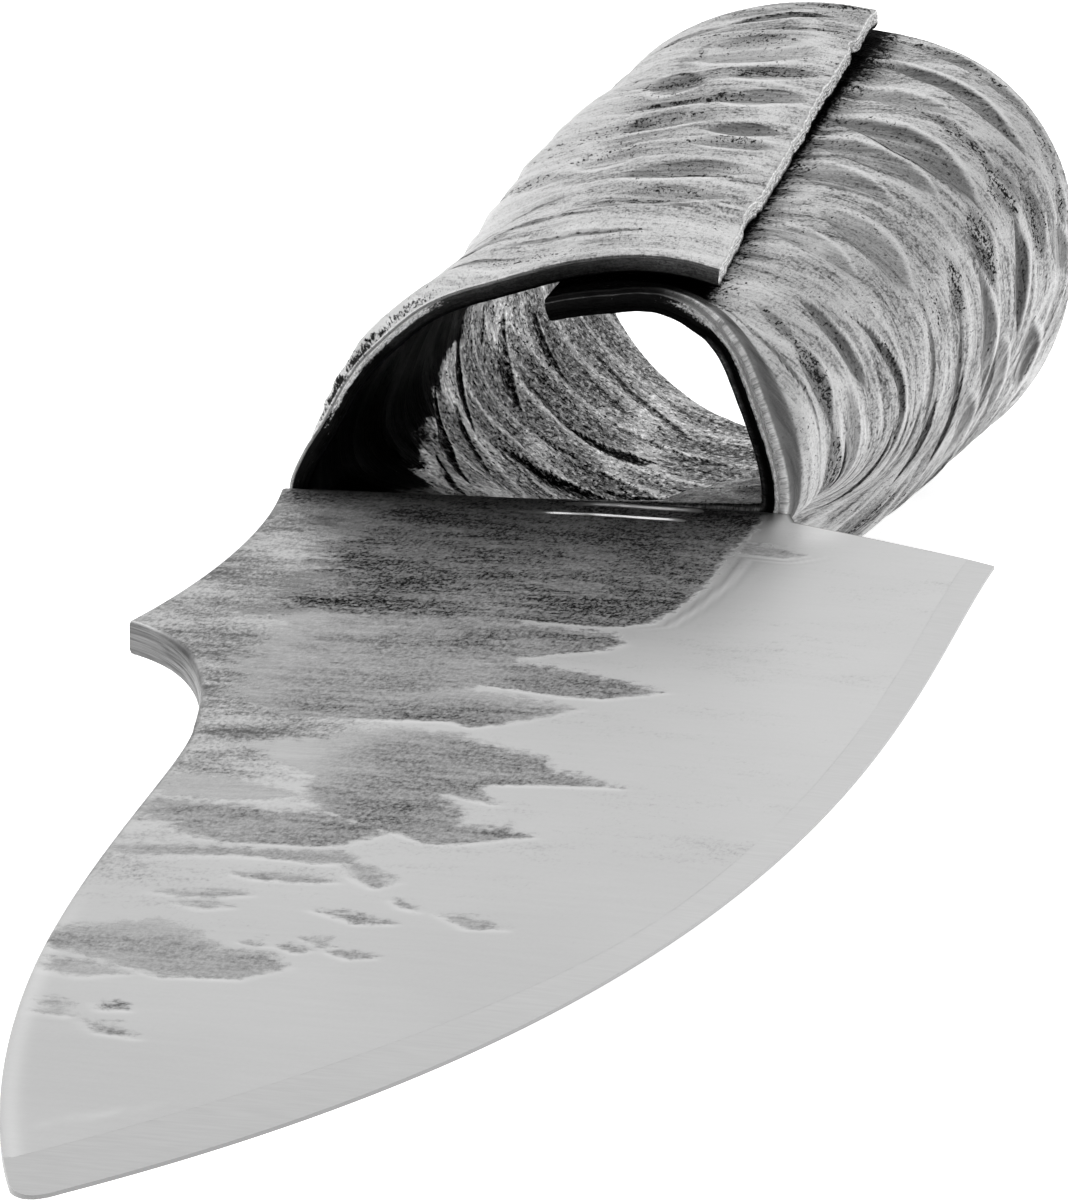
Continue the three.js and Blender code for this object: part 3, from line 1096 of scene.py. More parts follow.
        from_spine = x - inner[:, None]
        near_spine = fall(from_spine, 2.0, 18.0)
        seed = Seed.FACE_WAVES if side is Side.FACE else Seed.BACK_WAVES
        strength = 0.02 + 0.05 * smooth_rise(scale, -1.0, 1.5) + 0.05 * near_spine
        waves = ripple(x / 12.0 + along / 60.0, along / 7.0, seed) * strength
        height = plan.half_thickness(plan.depth(x, along), band[:, None] + 0.0 * x)
        height = height + (waves - sunk) * smooth_rise(margin, 0.0, 1.5) + self.mouth_ridges(x, along)
        round_off = np.clip(from_spine / self.arris, 0.0, 1.0)
        height -= self.arris * (1.0 - np.sqrt(1.0 - (1.0 - round_off)**2))
        height = np.maximum(height, plan.core_half + 0.5 * plan.lip)
        points, faces = self.slab(x, along, height, np.full(x.shape, plan.core_half))
        if side is Side.BACK:
            points[:, 2] *= -1.0
            faces = [face[::-1] for face in faces]

        smeared = near_spine * (1.0 - 0.45 * smooth_rise(-along, 62.0, 85.0)) - smooth_rise(-along, 100.0, 135.0)
        layers = {"scale": scale, "dark": dark, "lit": self.sheen(x, along, inner, scale, steep), "spine": smeared}
        values = {name: np.concatenate([part.ravel()] * 2) for name, part in layers.items()}
        on_wall = np.concatenate([fall(margin, 0.05, 0.3), np.ones(x.shape)]).ravel()
        values["wall"] = self.wall(on_wall, points)
        upper = np.concatenate([np.ones(x.size), np.zeros(x.size)])
        values["wrap"] = np.stack([points[:, 0], points[:, 1], (side.value * 20.0) * (1.0 + upper)], -1)
        return Skin(points, faces, values)

    def core(self) -> Skin:
        """Builds the hard middle layer, bare along the cutting edge.

        Returns:
            Its skin.
        """
        plan = self.plan
        y = plan.rows(self.row_step)
        x, along, _ = self.grid(plan.spine(y), plan.border(y), y)
        share = np.clip(plan.depth(x, along) / plan.band(along), 0.0, 1.0)
        height = plan.edge_half + (plan.core_half - plan.edge_half) * share
        points, faces = self.slab(x, along, height, -height)
        wrap = np.concatenate([np.stack([x, along, 0.0 * x + level], -1).reshape(-1, 3) for level in (5.0, -5.0)])
        # Painted shade towards the tip.
        lit = -0.15 * smooth_rise(-wrap[:, 1], 90.0, 160.0)
        return Skin(points, faces, {"wrap": wrap, "wall": self.wall(np.ones(len(wrap)), wrap), "lit": lit})

    def build(self) -> None:
        """Makes the three layers and their finishes."""
        iron = self.finish.material()
        steel = self.core_finish.material()
        settle(self.cladding(Side.FACE).make("face_layer", iron), "face_cladding")
        settle(self.cladding(Side.BACK).make("back_layer", iron), "back_cladding")
        settle(self.core().make("core_layer", steel), "blade_core")


@dataclass(frozen=True)
class Blow:
    """A lens-shaped hammer mark on the handle: its middle and half sizes, in degrees and millimetres."""

    angle: float
    along: float
    wide: float
    long: float
    lean: float = 0.0
    dark: float = 0.4
    depth: float = 0.2
    grit: float = 0.0
    curve: float = 0.0

    def inside(self, angle: Floats, y: Floats) -> tuple[Floats, Floats]:
        """How far each point lies inside the mark.

        Args:
            angle: Places round the handle.
            y: Places along the handle.

        Returns:
            Values that are 1 in the middle and 0 on the border, and places from -1 at the near
            border to 1 at the far border.
        """
        off = angle - self.angle
        rise = (y - self.along - self.lean * off - self.curve * off**2) / self.long
        return 1.0 - (off / self.wide)**2 - np.abs(rise), rise


EDGE_SIDE_BLOWS = (
    Blow(410, 109, 26, 2.0, -0.02, 0.42, 0.15, 0.6),
    Blow(364, 105.5, 7, 3.6, -0.3, 0.4),
    Blow(373, 107.5, 6, 2.2, 0.0, 0.3, 0.1, 0.8),
    Blow(385, 108, 8, 2.0, 0.0, 0.3, 0.1, 0.9),
    Blow(410, 99.3, 24, 3.0, -0.09, 0.6, 0.3),
    Blow(342, 97, 11, 5.0, -0.3, 0.6, 0.25),
    Blow(375, 96.5, 11, 3.4, -0.1, 0.3, 0.12, 0.9),
    Blow(401, 88, 14, 2.3, -0.06, 0.35, 0.12, 1.0),
    Blow(386, 89, 8, 4.4, -0.1, 0.3, 0.1, 0.9),
    Blow(365, 88.3, 15, 3.7, 0.05, 0.62, 0.35),
    Blow(418, 87, 14, 3.4, -0.32, 0.3, 0.2),
    Blow(345, 83, 13, 3.0, -0.3, 0.4, 0.2),
    Blow(407, 75.5, 20, 4.8, -0.22, 0.56, 0.35),
    Blow(380, 76.5, 10, 3.8, 0.0, 0.32, 0.12, 1.0),
    Blow(360, 74, 16, 3.5, -0.1, 0.5, 0.3),
    Blow(340, 72, 11, 4.0, -0.4, 0.45),
    Blow(410, 65.5, 16, 4.2, -0.25, 0.4, 0.22),
    Blow(377, 63.2, 9, 2.4, 0.0, 0.3, 0.1, 1.0),
    Blow(358, 62.3, 14, 1.0, 0.05, 0.55, 0.1),
    Blow(377, 55, 8, 2.4, -0.1, 0.22, 0.08, 0.8),
    Blow(412, 54, 13, 4.0, -0.3, 0.36, 0.2),
    Blow(365, 50.8, 17, 1.0, 0.02, 0.5, 0.1, 0.4),
    Blow(397, 45.5, 15, 4.6, -0.25, 0.34, 0.25),
    Blow(352, 46, 8, 1.1, 0.15, 0.55, 0.1),
    Blow(352, 41.3, 9, 1.0, 0.12, 0.55, 0.1),
    Blow(370, 38, 23, 1.4, -0.207, 0.7, 0.16, 0.6, -0.0115),
    Blow(353, 30, 10, 1.0, 0.1, 0.55, 0.1, 0.3),
    Blow(405, 33, 13, 3.2, -0.28, 0.3, 0.2),
    Blow(387, 23.2, 14, 2.7, -0.3, 0.55, 0.25),
    Blow(368, 21, 13, 2.6, -0.05, 0.28, 0.15),
    Blow(362, 14, 12, 3.3, -0.05, 0.4, 0.12, 1.0),
    Blow(384, 12, 10, 3.1, -0.1, 0.5, 0.15, 1.0),
    Blow(398, 11.2, 7, 1.3, -0.1, 0.45, 0.1, 0.6),
    Blow(388, 6.6, 30, 0.6, -0.08, 0.6, 0.05),
    Blow(356, 9.5, 14, 0.6, -0.1, 0.6, 0.05),
    Blow(354, 18.5, 16, 0.8, -0.05, 0.95, 0.1, 0.4),
    Blow(350, 25, 13, 0.8, 0.05, 0.9, 0.1, 0.4),
    Blow(349, 35.5, 12, 1.1, 0.1, 0.85, 0.1, 0.5),
    Blow(347, 52, 12, 1.6, 0.12, 0.85, 0.1, 0.6),
    Blow(346, 63, 11, 1.5, 0.1, 0.85, 0.1, 0.6),
    Blow(345, 78, 10, 1.4, 0.1, 0.6, 0.1, 0.4),
)
SPINE_SIDE_BLOWS = (
    Blow(90, 12.5, 20, 0.7, 0.0, 0.6, 0.06),
    Blow(112, 8.5, 14, 0.6, 0.05, 0.6, 0.05),
    Blow(122, 16.5, 15, 0.9, 0.1, 0.65, 0.08, 0.3),
    Blow(104, 21, 18, 0.9, 0.05, 0.55, 0.08, 0.3),
    Blow(130, 26, 14, 1.0, 0.15, 0.65, 0.08, 0.4),
    Blow(84, 23, 15, 0.8, 0.0, 0.5, 0.06),
    Blow(90, 109.5, 15, 1.7, 0.0, 0.42, 0.15),
    Blow(98, 104.8, 14, 1.6, 0.0, 0.7, 0.2),
    Blow(122, 104.6, 12, 1.4, 0.05, 0.5, 0.12),
    Blow(92, 98.2, 13, 1.0, 0.02, 0.5, 0.12),
    Blow(135, 95, 9, 4.0, 0.6, 0.3, 0.2),
    Blow(96, 88.3, 18, 6.8, 0.12, 0.26, 0.4),
    Blow(110.5, 89, 3.2, 6.6, 0.0, 0.45, 0.1),
    Blow(118, 80, 11, 3.0, 0.4, 0.3, 0.2),
    Blow(85, 76.3, 11, 3.5, -0.05, 0.42, 0.2, 0.3),
    Blow(107.5, 75.3, 9, 5.2, 0.25, 0.5, 0.35),
    Blow(81, 65.6, 12, 3.7, -0.05, 0.42, 0.3),
    Blow(90.5, 65, 2.6, 3.2, 0.0, 0.55, 0.1),
    Blow(100, 64.6, 14, 1.4, 0.05, 0.5, 0.15),
    Blow(128, 60, 11, 3.0, 0.6, 0.24, 0.15),
    Blow(97, 56.8, 13, 3.7, 0.0, 0.24, 0.25),
    Blow(105, 57.4, 3.6, 2.6, 0.0, 0.55, 0.1),
    Blow(76, 52, 10, 2.9, -0.03, 0.5, 0.25),
    Blow(76, 46.3, 11, 2.5, 0.0, 0.4, 0.2, 0.4),
    Blow(124, 46.5, 12, 2.7, 0.5, 0.4, 0.2),
    Blow(104, 44.5, 11, 4.8, 0.2, 0.2, 0.25),
    Blow(112.5, 47, 1.6, 2.6, 0.0, 0.5, 0.1),
    Blow(79, 35.4, 17, 3.7, -0.1, 0.42, 0.3, 0.3),
    Blow(76, 33.2, 10, 0.9, -0.02, 0.6, 0.1),
    Blow(111, 29.4, 13, 0.8, -0.02, 0.45, 0.08),
    Blow(78, 25.6, 14, 3.3, -0.08, 0.34, 0.2, 0.4),
    Blow(80, 22, 12, 0.8, 0.0, 0.5, 0.1),
    Blow(115, 17, 6, 3.0, -0.4, 0.4, 0.12),
    Blow(90, 16.5, 13, 0.7, 0.04, 0.3, 0.06),
    Blow(88, 13, 15, 0.8, 0.05, 0.34, 0.06),
    Blow(84, 9.5, 13, 0.6, 0.1, 0.3, 0.05),
)
INSIDE_BLOWS = (
    Blow(187, 57.5, 14, 1.7, -0.2, 1.0, 0.2),
    Blow(194, 43.5, 14, 1.7, -0.3, 1.0, 0.2),
    Blow(192, 75, 13, 2.2, -0.25, 0.7, 0.2),
    Blow(226, 68, 24, 1.4, 0.36, 0.95, 0.2),
    Blow(225, 83.5, 14, 1.6, 0.35, 0.95, 0.2),
    Blow(244, 78.5, 15, 1.3, 0.42, 0.8, 0.15),
    Blow(196, 88, 13, 1.2, 0.0, 0.75, 0.12),
    Blow(222, 100.4, 22, 1.0, 0.03, 0.7, 0.1),
    Blow(245, 95, 9, 1.2, 0.3, 0.7, 0.1),
    Blow(200, 51.5, 11, 1.3, -0.15, 0.8, 0.12),
    Blow(180, 69.6, 6, 1.0, -0.1, 0.7, 0.1),
    Blow(222, 75, 15, 1.2, 0.25, 0.7, 0.1),
    Blow(205, 34, 12, 1.6, -0.5, 0.9, 0.15),
    Blow(230, 92.5, 15, 0.9, 0.25, 0.6, 0.1),
    Blow(212, 60, 14, 0.9, 0.1, 0.6, 0.1),
    Blow(208, 79.5, 12, 0.9, 0.1, 0.6, 0.1),
    Blow(214, 95, 14, 0.8, 0.1, 0.5, 0.1),
    Blow(228, 106, 18, 0.8, 0.05, 0.5, 0.1),
    Blow(240, 60, 14, 1.4, 0.4, 0.7, 0.15),
    Blow(262, 84, 12, 1.4, 0.3, 0.6, 0.15),
    Blow(268, 70, 14, 1.4, 0.2, 0.7, 0.15),
)


@dataclass(frozen=True)
class Girth:
    """Angles and radii to the middle of the handle's sheet at one end."""

    over: tuple[tuple[float, float], ...]
    under: tuple[tuple[float, float], ...]
    tucked: tuple[tuple[float, float], ...]

    def knots(self) -> Floats:
        """Angles and radii from the seam edge round to the tucked edge, one row per knot."""
        return np.array(self.over + self.under + self.tucked)


MOUTH = Girth(
    ((54.0, 18.3), (72.0, 16.5), (90.0, 15.3), (112.0, 14.2), (135.0, 13.7)),
    ((160.0, 14.3), (172.0, 15.2), (180.0, 15.7), (270.0, 15.2), (315.0, 13.9), (360.0, 15.55), (382.0, 15.65)),
    ((400.0, 16.2), (413.0, 16.1), (421.0, 15.5), (430.0, 14.6), (447.0, 13.1)),
)
FAR_END = Girth(
    ((79.0, 17.4), (91.0, 17.6), (104.0, 17.9), (120.0, 18.5), (135.0, 19.1)),
    ((160.0, 19.0), (170.0, 18.85), (180.0, 18.7), (270.0, 16.1), (315.0, 17.7), (360.0, 17.7), (382.0, 17.9)),
    ((400.0, 17.5), (413.0, 16.9), (426.0, 16.3), (440.0, 15.7), (466.0, 16.0)),
)


def smooth_curve(knots: Floats, where: Floats) -> Floats:
    """Reads a smooth curve through knots.

    Args:
        knots: Rows of place and value, in order.
        where: Places to read.

    Returns:
        Values there.
    """
    place, value = knots[:, 0], knots[:, 1]
    slopes = np.empty(len(place))
    slopes[1:-1] = (value[2:] - value[:-2]) / (place[2:] - place[:-2])
    slopes[0] = (value[1] - value[0]) / (place[1] - place[0])
    slopes[-1] = (value[-1] - value[-2]) / (place[-1] - place[-2])
    at = np.clip(np.searchsorted(place, where, side="right") - 1, 0, len(place) - 2)
    width = place[at + 1] - place[at]
    part = np.clip((where - place[at]) / width, 0.0, 1.0)
    rise = part * part * (3.0 - 2.0 * part)
    swell = width * (part * (1.0 - part)**2 * slopes[at] - part**2 * (1.0 - part) * slopes[at + 1])
    return value[at] + (value[at + 1] - value[at]) * rise + swell


# Stretches of the handle's sheet: shares of the way round from the seam edge, in names with RUN and behind
# the lip millimetres from the mouth, and for the spine flank degrees.
LEFT_LIP = Window(0.13, 0.2, 0.32, 0.37)
RIGHT_LIP = Window(0.73, 0.79, 0.8, 0.87)
BEHIND_LIP = Window(0.0, 4.5, 8.0, 34.0)
FLARE = Window(0.82, 0.88, 0.91, 0.97)
LEFT_SIDE = Window(0.08, 0.18, 0.3, 0.4)
SHOULDER = Window(0.15, 0.22, 0.26, 0.32)
TUCK = Window(0.04, 0.13, 0.13, 0.21)
HIP = Window(0.52, 0.55, 0.59, 0.62)
HIP_RUN = Window(8.0, 18.0, 42.0, 60.0)
FLOOR = Window(0.27, 0.33, 0.6, 0.66)
FLOOR_RUN = Window(0.5, 6.0, 24.0, 46.0)
FRONT_FLAP = Window(0.62, 0.72, 0.86, 0.9)
CHIPPED = Window(0.18, 0.22, 0.3, 0.36)
CHIPPED_RUN = Window(0.2, 0.8, 1.8, 3.2)
SMOOTH_LIP = Window(0.68, 0.71, 0.88, 0.92)
PALE_FLOOR_STREAKS = Window(0.48, 0.54, 0.66, 0.7)
LEFT_FLOOR = Window(0.2, 0.25, 0.36, 0.46)
# Painted highlight on the spine-side flank, in degrees round the handle.
SPINE_FLANK_HIGHLIGHT = Window(98.0, 135.0, 170.0, 200.0)
THICK_RIM = Window(0.6, 0.75, 0.88, 0.93)
TORN_RIM = Window(0.18, 0.22, 0.28, 0.33)
BRIM = Window(0.66, 0.72, 0.88, 0.93)
# How far the painted shade inside the tube comes from the mouth, by degrees round the handle.
GLOOM_ANGLES = (150.0, 165.0, 175.0, 190.0, 197.0, 205.0, 232.0)
GLOOM_REACH = (72.0, 63.0, 57.0, 39.0, 27.0, 19.0, -8.0)


@dataclass
class SheetGrid:
    """Points over the middle of the handle's sheet: places round it as shares, along it and to its borders."""

    middle: Floats
    slope: Floats
    out: Floats
    share: Floats
    wrap: Floats
    y: Floats
    back: Floats
    margin: Floats
    floor: Floats

    def turn(self) -> Floats:
        """Angle of each point round the handle, in radians."""
        return np.unwrap(np.arctan2(self.middle[..., 1], self.middle[..., 0]), axis=1)

    def under_seam(self) -> Floats:
        """Distance by which the tucked flap lies beyond the seam edge above it.

        Returns:
            Distances round the sheet, below zero where the flap is in view.
        """
        turn = self.turn()
        return (turn - turn[:, :1] - 2.0 * math.pi) * np.linalg.norm(self.middle, axis=2)


@dataclass
class RolledHandle:
    """The sheet rolled into an open tapered tube, its spine-side flap over the other."""

    length: float = 112.0
    spine_flap: float = 1.2
    edge_flap: float = 2.1
    tucked_end: float = 1.6
    seam_setback: float = 4.5
    trough: float = 68.0
    bend: tuple[float, float] = (1.1, 2.0)
    tongue: tuple[float, float, float] = (24.0, 34.0, 0.5)
    step: float = 0.34
    arris: float = 0.3
    rim_rows: int = 8
    middle_y: float = 50.0
    dent: float = 0.55
    lip: float = 0.8
    bulge: float = 1.05
    sag: float = 0.9
    bevel: float = 0.2
    finish: HandleFinish = HandleFinish("hammered_iron", 0.42, 0.095, 0.07, 0.03)

    def middle_line(self, part: float, share: Floats) -> tuple[Floats, float]:
        """Middle of the sheet at one place along the handle.

        Args:
            part: Place along the handle, from 0 at the mouth to 1.
            share: Places round the sheet, from 0 at the seam edge to 1.

        Returns:
            Points across the handle, and the length of the line.
        """
        knots = MOUTH.knots() * (1.0 - part) + FAR_END.knots() * part
        angle = np.linspace(knots[0, 0], knots[-1, 0], 900)
        radius = smooth_curve(knots, angle)
        turn = np.radians(angle)
        sunk = float(smooth_rise(np.array(part * self.length), 0.0, self.trough))
        flat = np.where((angle > 180.0) & (angle < 360.0), sunk, 1.0)
        line = np.stack([radius * np.cos(turn), radius * np.sin(turn) * flat], -1)
        run = np.concatenate([[0.0], np.cumsum(np.hypot(*np.diff(line, axis=0).T))])
        even = np.linspace(0.0, run[-1], 700)
        line = np.stack([np.interp(even, run, line[:, k]) for k in (0, 1)], -1)
        bend = self.bend[0] + part * (self.bend[1] - self.bend[0])
        reach = int(3.0 * bend / even[1])
        bell = np.exp(-0.5 * (np.arange(-reach, reach + 1) * even[1] / bend)**2)
        before = 2.0 * line[0] - line[reach:0:-1]
        after = 2.0 * line[-1] - line[-2:-reach - 2:-1]
        padded = np.vstack([before, line, after])
        line = np.stack([np.convolve(padded[:, k], bell / bell.sum(), "valid") for k in (0, 1)], -1)
        even = even / even[-1]
        return np.stack([np.interp(share, even, line[:, k]) for k in (0, 1)], -1), float(run[-1])

    def setback(self, share: Floats) -> Floats:
        """How far the front of the upper flap stands back from the mouth."""
        return self.seam_setback * fall(share, 0.0, 0.25)

    def swell(self, share: Floats, behind: Floats) -> Floats:
        """How far the sheet swells out behind the drawn-in lip of the mouth.

        Args:
            share: Places round the sheet.
            behind: Distance behind the front of the sheet.

        Returns:
            Distances outwards.
        """
        brow = 0.5 * SHOULDER.at(share) * fall(behind, 3.0, 12.0) - 0.4 * TUCK.at(share) * fall(behind, 5.0, 16.0)
        brow = brow - 0.5 * HIP.at(share) * HIP_RUN.at(behind)
        lips = self.lip * (LEFT_LIP.at(share) + RIGHT_LIP.at(share)) * BEHIND_LIP.at(behind)
        bulge = self.bulge * LEFT_SIDE.at(share) * bell(behind, 72.0, 24.0)
        return lips + 0.5 * FLARE.at(share) * fall(behind, 1.0, 4.0) + bulge + brow

    def flow(self, angle: Floats) -> Floats:
        """How far the drawn-out lines of the sheet climb along the handle.

        Args:
            angle: Places round the handle.

        Returns:
            Distances along the handle.
        """
        over = 0.008 * np.clip(angle - 100.0, 0.0, 60.0)**2 * fall(angle, 180.0, 260.0)
        past = angle - 362.0
        hip = np.where(past > 0.0, -0.006 * np.minimum(past, 62.0)**2, -0.02 * np.maximum(past, -22.0)**2)
        return over + hip * smooth_rise(angle, 270.0, 335.0)

    def relief(self, wrap: Floats, run: Floats, seed: int) -> tuple[Floats, Floats, Floats]:
        """Close hammer marks of one side of the sheet.

        Args:
            wrap: Distance round the sheet.
            run: Distance along the lines of the sheet.
            seed: Picks one layout of blows.

        Returns:
            Heights, nearness to a ridge and how pitted the surface is, from 0 to 1.
        """
        bent_u = wrap + 4.0 * ripple(wrap / 22.0, run / 20.0, seed + 3)
        bent_v = run + 3.0 * ripple(wrap / 16.0, run / 16.0, seed + 5)
        near, beyond = hammer_marks(bent_u / 15.0, bent_v / 8.0, seed)
        small, small_beyond = hammer_marks(bent_u / 9.0 + 3.3, bent_v / 4.5, seed + 20)
        streak = ripple(bent_u / 15.0, bent_v / 2.2, seed + 9)
        height = self.dent * (near**2 - 0.2) + 0.3 * self.dent * (small**2 - 0.2) + 0.05 * streak
        ridge = 0.5 * fall(beyond, 0.0, 0.18) + 0.25 * fall(small_beyond, 0.0, 0.15)
        ridge = ridge + 0.35 * smooth_rise(near, 0.15, 0.75)
        patch = ripple(bent_u / 11.0, bent_v / 7.0, seed + 13, 2)
        return height, ridge, smooth_rise(patch, -0.1, 0.6) * (1.0 - 0.6 * ridge)

    def struck(self, angle: Floats, y: Floats, blows: tuple[Blow, ...], lit_side: float) -> tuple[Floats, ...]:
        """Adds single hammer marks.

        Args:
            angle: Places round the handle.
            y: Places along the handle.
            blows: The marks.
            lit_side: 1 where the far border of a mark catches the light, -1 where the near one does.

        Returns:
            Heights, darkness of the hollows with painted shadow along their unlit border, their grit, and painted
            highlights along their lit border.
        """
        height, hollow, grit, crest = (np.zeros(y.shape) for _ in range(4))
        for blow in blows:
            depth, rise = blow.inside(angle, y)
            bowl = np.clip(depth, 0.0, 1.0)
            height -= blow.depth * bowl * (2.0 - bowl)
            lit = smooth_rise(lit_side * rise, -0.15, 0.25)
            tips = np.clip(1.0 - ((angle - blow.angle) / blow.wide)**2, 0.0, 1.0)
            fade = 0.75 + 0.25 * np.clip(rise, -1.0, 1.0)
            hollow = np.maximum(hollow, blow.dark * fade * smooth_rise(depth, -0.06, 0.24))
            # Painted shadow along the border of the mark away from the light.
            shadow = bell(depth, 0.08, 0.09) * (1.0 - lit)
            hollow = np.maximum(hollow, 1.5 * blow.dark * tips * shadow)
            # Painted highlight on the crest at the border of the mark towards the light.
            size = min(1.0, blow.depth / 0.25) if blow.depth > 0.11 else 0.0
            crest = np.maximum(crest, size * tips * lit * bell(depth, -0.1, 0.12))
            grit = np.maximum(grit, blow.grit * smooth_rise(depth, -0.5, 0.5))
        return height, hollow, grit, crest

    def lay_out(self) -> SheetGrid:
        """Lays points over the middle of the sheet, swollen behind the lip and sunk at the floor.

        Returns:
            The grid of points.
        """
        girth = self.middle_line(0.5, np.array([0.0, 1.0]))[1]
        around = spaced(girth, self.step, self.arris) / girth
        along = spaced(self.length, 0.9 * self.step, self.arris) / self.length
        middle = np.stack([self.middle_line(part, around)[0] for part in along])
        slope = np.gradient(middle, axis=1)
        slope /= np.linalg.norm(slope, axis=2, keepdims=True)
        out = np.stack([slope[..., 1], -slope[..., 0]], -1)
        share = np.repeat(around[None, :], len(along), axis=0)
        back = self.setback(share)
        y = back + (self.length - back) * along[:, None]
        middle = middle + out * self.swell(share, y - back)[..., None]
        floor = FLOOR.at(share) * FLOOR_RUN.at(y)
        middle[..., 1] -= self.sag * floor
        wrap = share * girth
        margin = np.minimum(np.minimum(wrap, girth - wrap), np.minimum(y - back, self.length - y))
        return SheetGrid(middle, slope, out, share, wrap, y, back, margin, floor)

    def half_thickness(self, grid: SheetGrid) -> Floats:
        """Half thickness of the sheet, rounded off at its borders.

        Args:
            grid: The middle of the sheet.

        Returns:
            Half thicknesses.
        """
        share = grid.share
        front_flap = FRONT_FLAP.at(share) * (grid.y - grid.back < 6.0)
        corner = self.arris * (0.4 + 0.6 * smooth_rise(share, 0.28, 0.5) + 1.6 * front_flap)
        rounded = corner * (1.0 - np.sqrt(1.0 - (1.0 - np.clip(grid.margin / corner, 0.0, 1.0))**2))
        thick = self.spine_flap + (self.edge_flap - self.spine_flap) * smooth_rise(share, 0.3, 0.75)
        thick = thick + (self.tucked_end - self.edge_flap) * smooth_rise(share, 0.84, 0.94)
        return 0.5 * thick - rounded

    def painted_shadow(self, grid: SheetGrid, run: Floats) -> Floats:
        """Painted shadow: black under the seam and on the tucked flap outside, and painted shade in the dark of the
        tube inside.

        Args:
            grid: The middle of the sheet.
            run: Distance along the lines of the inside.

        Returns:
            Values of the outside and the inside.
        """
        share, y, wrap, seam = grid.share, grid.y, grid.wrap, grid.under_seam()
        # Painted shadow on the tucked flap just under the seam edge.
        outside = 0.74 * smooth_rise(seam, -4.6, 0.0) + 0.7 * smooth_rise(seam, -1.1, 0.0)
        outside = outside + 0.26 * smooth_rise(y, 78.0, 98.0) * smooth_rise(seam, -9.0, -1.0)
        # Painted shadow on the tucked flap where it runs under the upper flap at the mouth.
        tucked = 1.3 * smooth_rise(share, 0.88, 0.93) * fall(y, 6.0, 20.0)
        # Painted shade inside the tube, reaching back from the mouth on the spine side.
        reach = np.interp(np.degrees(grid.turn()), GLOOM_ANGLES, GLOOM_REACH)
        reach = reach + 8.0 * ripple(wrap / 24.0, run / 2.6, Seed.GLOOM_BROAD)
        reach = reach + 7.0 * ripple(wrap / 1.1, y / 50.0, Seed.GLOOM_FINE)
        frayed = share + 0.04 * ripple(wrap / 1.3, y / 30.0, Seed.GLOOM_FRAY)
        gloom = 1.25 * fall(y - reach, -7.0, 9.0) * fall(frayed, 0.38, 0.47)
        # The inside also takes painted shade along the upper flap's free edge.
        return np.stack([np.maximum(outside, tucked), np.maximum(fall(share, 0.04, 0.16), gloom)])

    def marks(self, grid: SheetGrid) -> tuple[Floats, Floats, dict[str, Floats]]:
        """Hammer marks of both sides of the sheet and what they do to its finish.

        Args:
            grid: The middle of the sheet.

        Returns:
            Heights of the outside and of the inside, and values of the finish for both.
        """
        share, y, wrap, behind = grid.share, grid.y, grid.wrap, grid.y - grid.back
        angle = np.degrees(grid.turn())
        wave = 1.5 * ripple(wrap / 14.0, y / 10.0, Seed.DRAWN_LINES)
        bent = angle + 2.2 * ripple(wrap / 5.0, y / 4.0, Seed.BLOW_ROUND)
        run = y + ripple(wrap / 4.0, y / 5.0, Seed.BLOW_ALONG)
        out_run, in_run = y - self.flow(angle) + wave, y - 0.2 * (angle - 200.0) + wave
        out_height, out_ridge, out_pits = self.relief(wrap, out_run, Seed.OUTSIDE)
        in_height, in_ridge, in_pits = self.relief(wrap, in_run, Seed.INSIDE)
        spine_side = fall(angle, 125.0, 150.0)
        seen = smooth_rise(angle, 320.0, 345.0) + spine_side
        right = self.struck(bent, run, EDGE_SIDE_BLOWS, 1.0)
        left = self.struck(bent, run, SPINE_SIDE_BLOWS, -1.0)
        height, hollow, grit, crest = (a + b for a, b in zip(right, left))
        grit = grit + 0.45 * left[1]
        # Inside grooves: hollow darkness with painted shadow, and brim as painted highlights on their lit crests.
        groove_height, groove, _, brim = self.struck(bent, run, INSIDE_BLOWS, 1.0)

        chips = CHIPPED_RUN.at(behind) * CHIPPED.at(share)
        out_height = out_height * (1.0 - 0.65 * seen) + height
        out_height = out_height + 0.3 * chips * ripple(wrap / 1.1, y / 1.6, Seed.CHIPS)
        in_height = 0.5 * in_height + 0.55 * groove_height

        # Paler streaks on the inside floor near the mouth.
        bared = 0.3 + 1.3 * ripple(wrap / 1.4, y / 6.0, Seed.PALE_FLOOR_STREAKS)
        pale_floor_streaks = PALE_FLOOR_STREAKS.at(share) * fall(y, 18.0, 36.0) * bared
        fore = LEFT_FLOOR.at(share) * fall(y, 70.0, 90.0)
        # Outside ridges: lighter just behind the mouth, with painted highlights on the lit crests of the marks and
        # on the spine-side flank.
        out_ridge = out_ridge * (1.0 - 0.45 * seen) + 0.14 * seen + 0.2 * fall(behind, 4.0, 20.0)
        out_ridge = out_ridge + crest + 0.5 * SPINE_FLANK_HIGHLIGHT.at(angle)
        out_pits = out_pits * (1.0 - 0.8 * seen + 0.3 * spine_side) + 0.6 * grit + 0.55 * chips
        flat = np.zeros(y.shape)
        return out_height, in_height, {
            "ridge": np.stack([out_ridge, in_ridge + 0.8 * brim + pale_floor_streaks + 0.08 * fore]),
            "hollow": np.stack([hollow, groove]),
            "pitted": np.stack([out_pits, 0.2 + 0.3 * in_pits]),
            "smooth": np.stack([fall(behind, 2.2, 3.0) * SMOOTH_LIP.at(share), flat]),
            "painted_shadow": self.painted_shadow(grid, in_run),
            "wrap": np.stack([np.stack([wrap, out_run, flat], -1), np.stack([wrap, in_run, flat + 30.0], -1)]),
        }

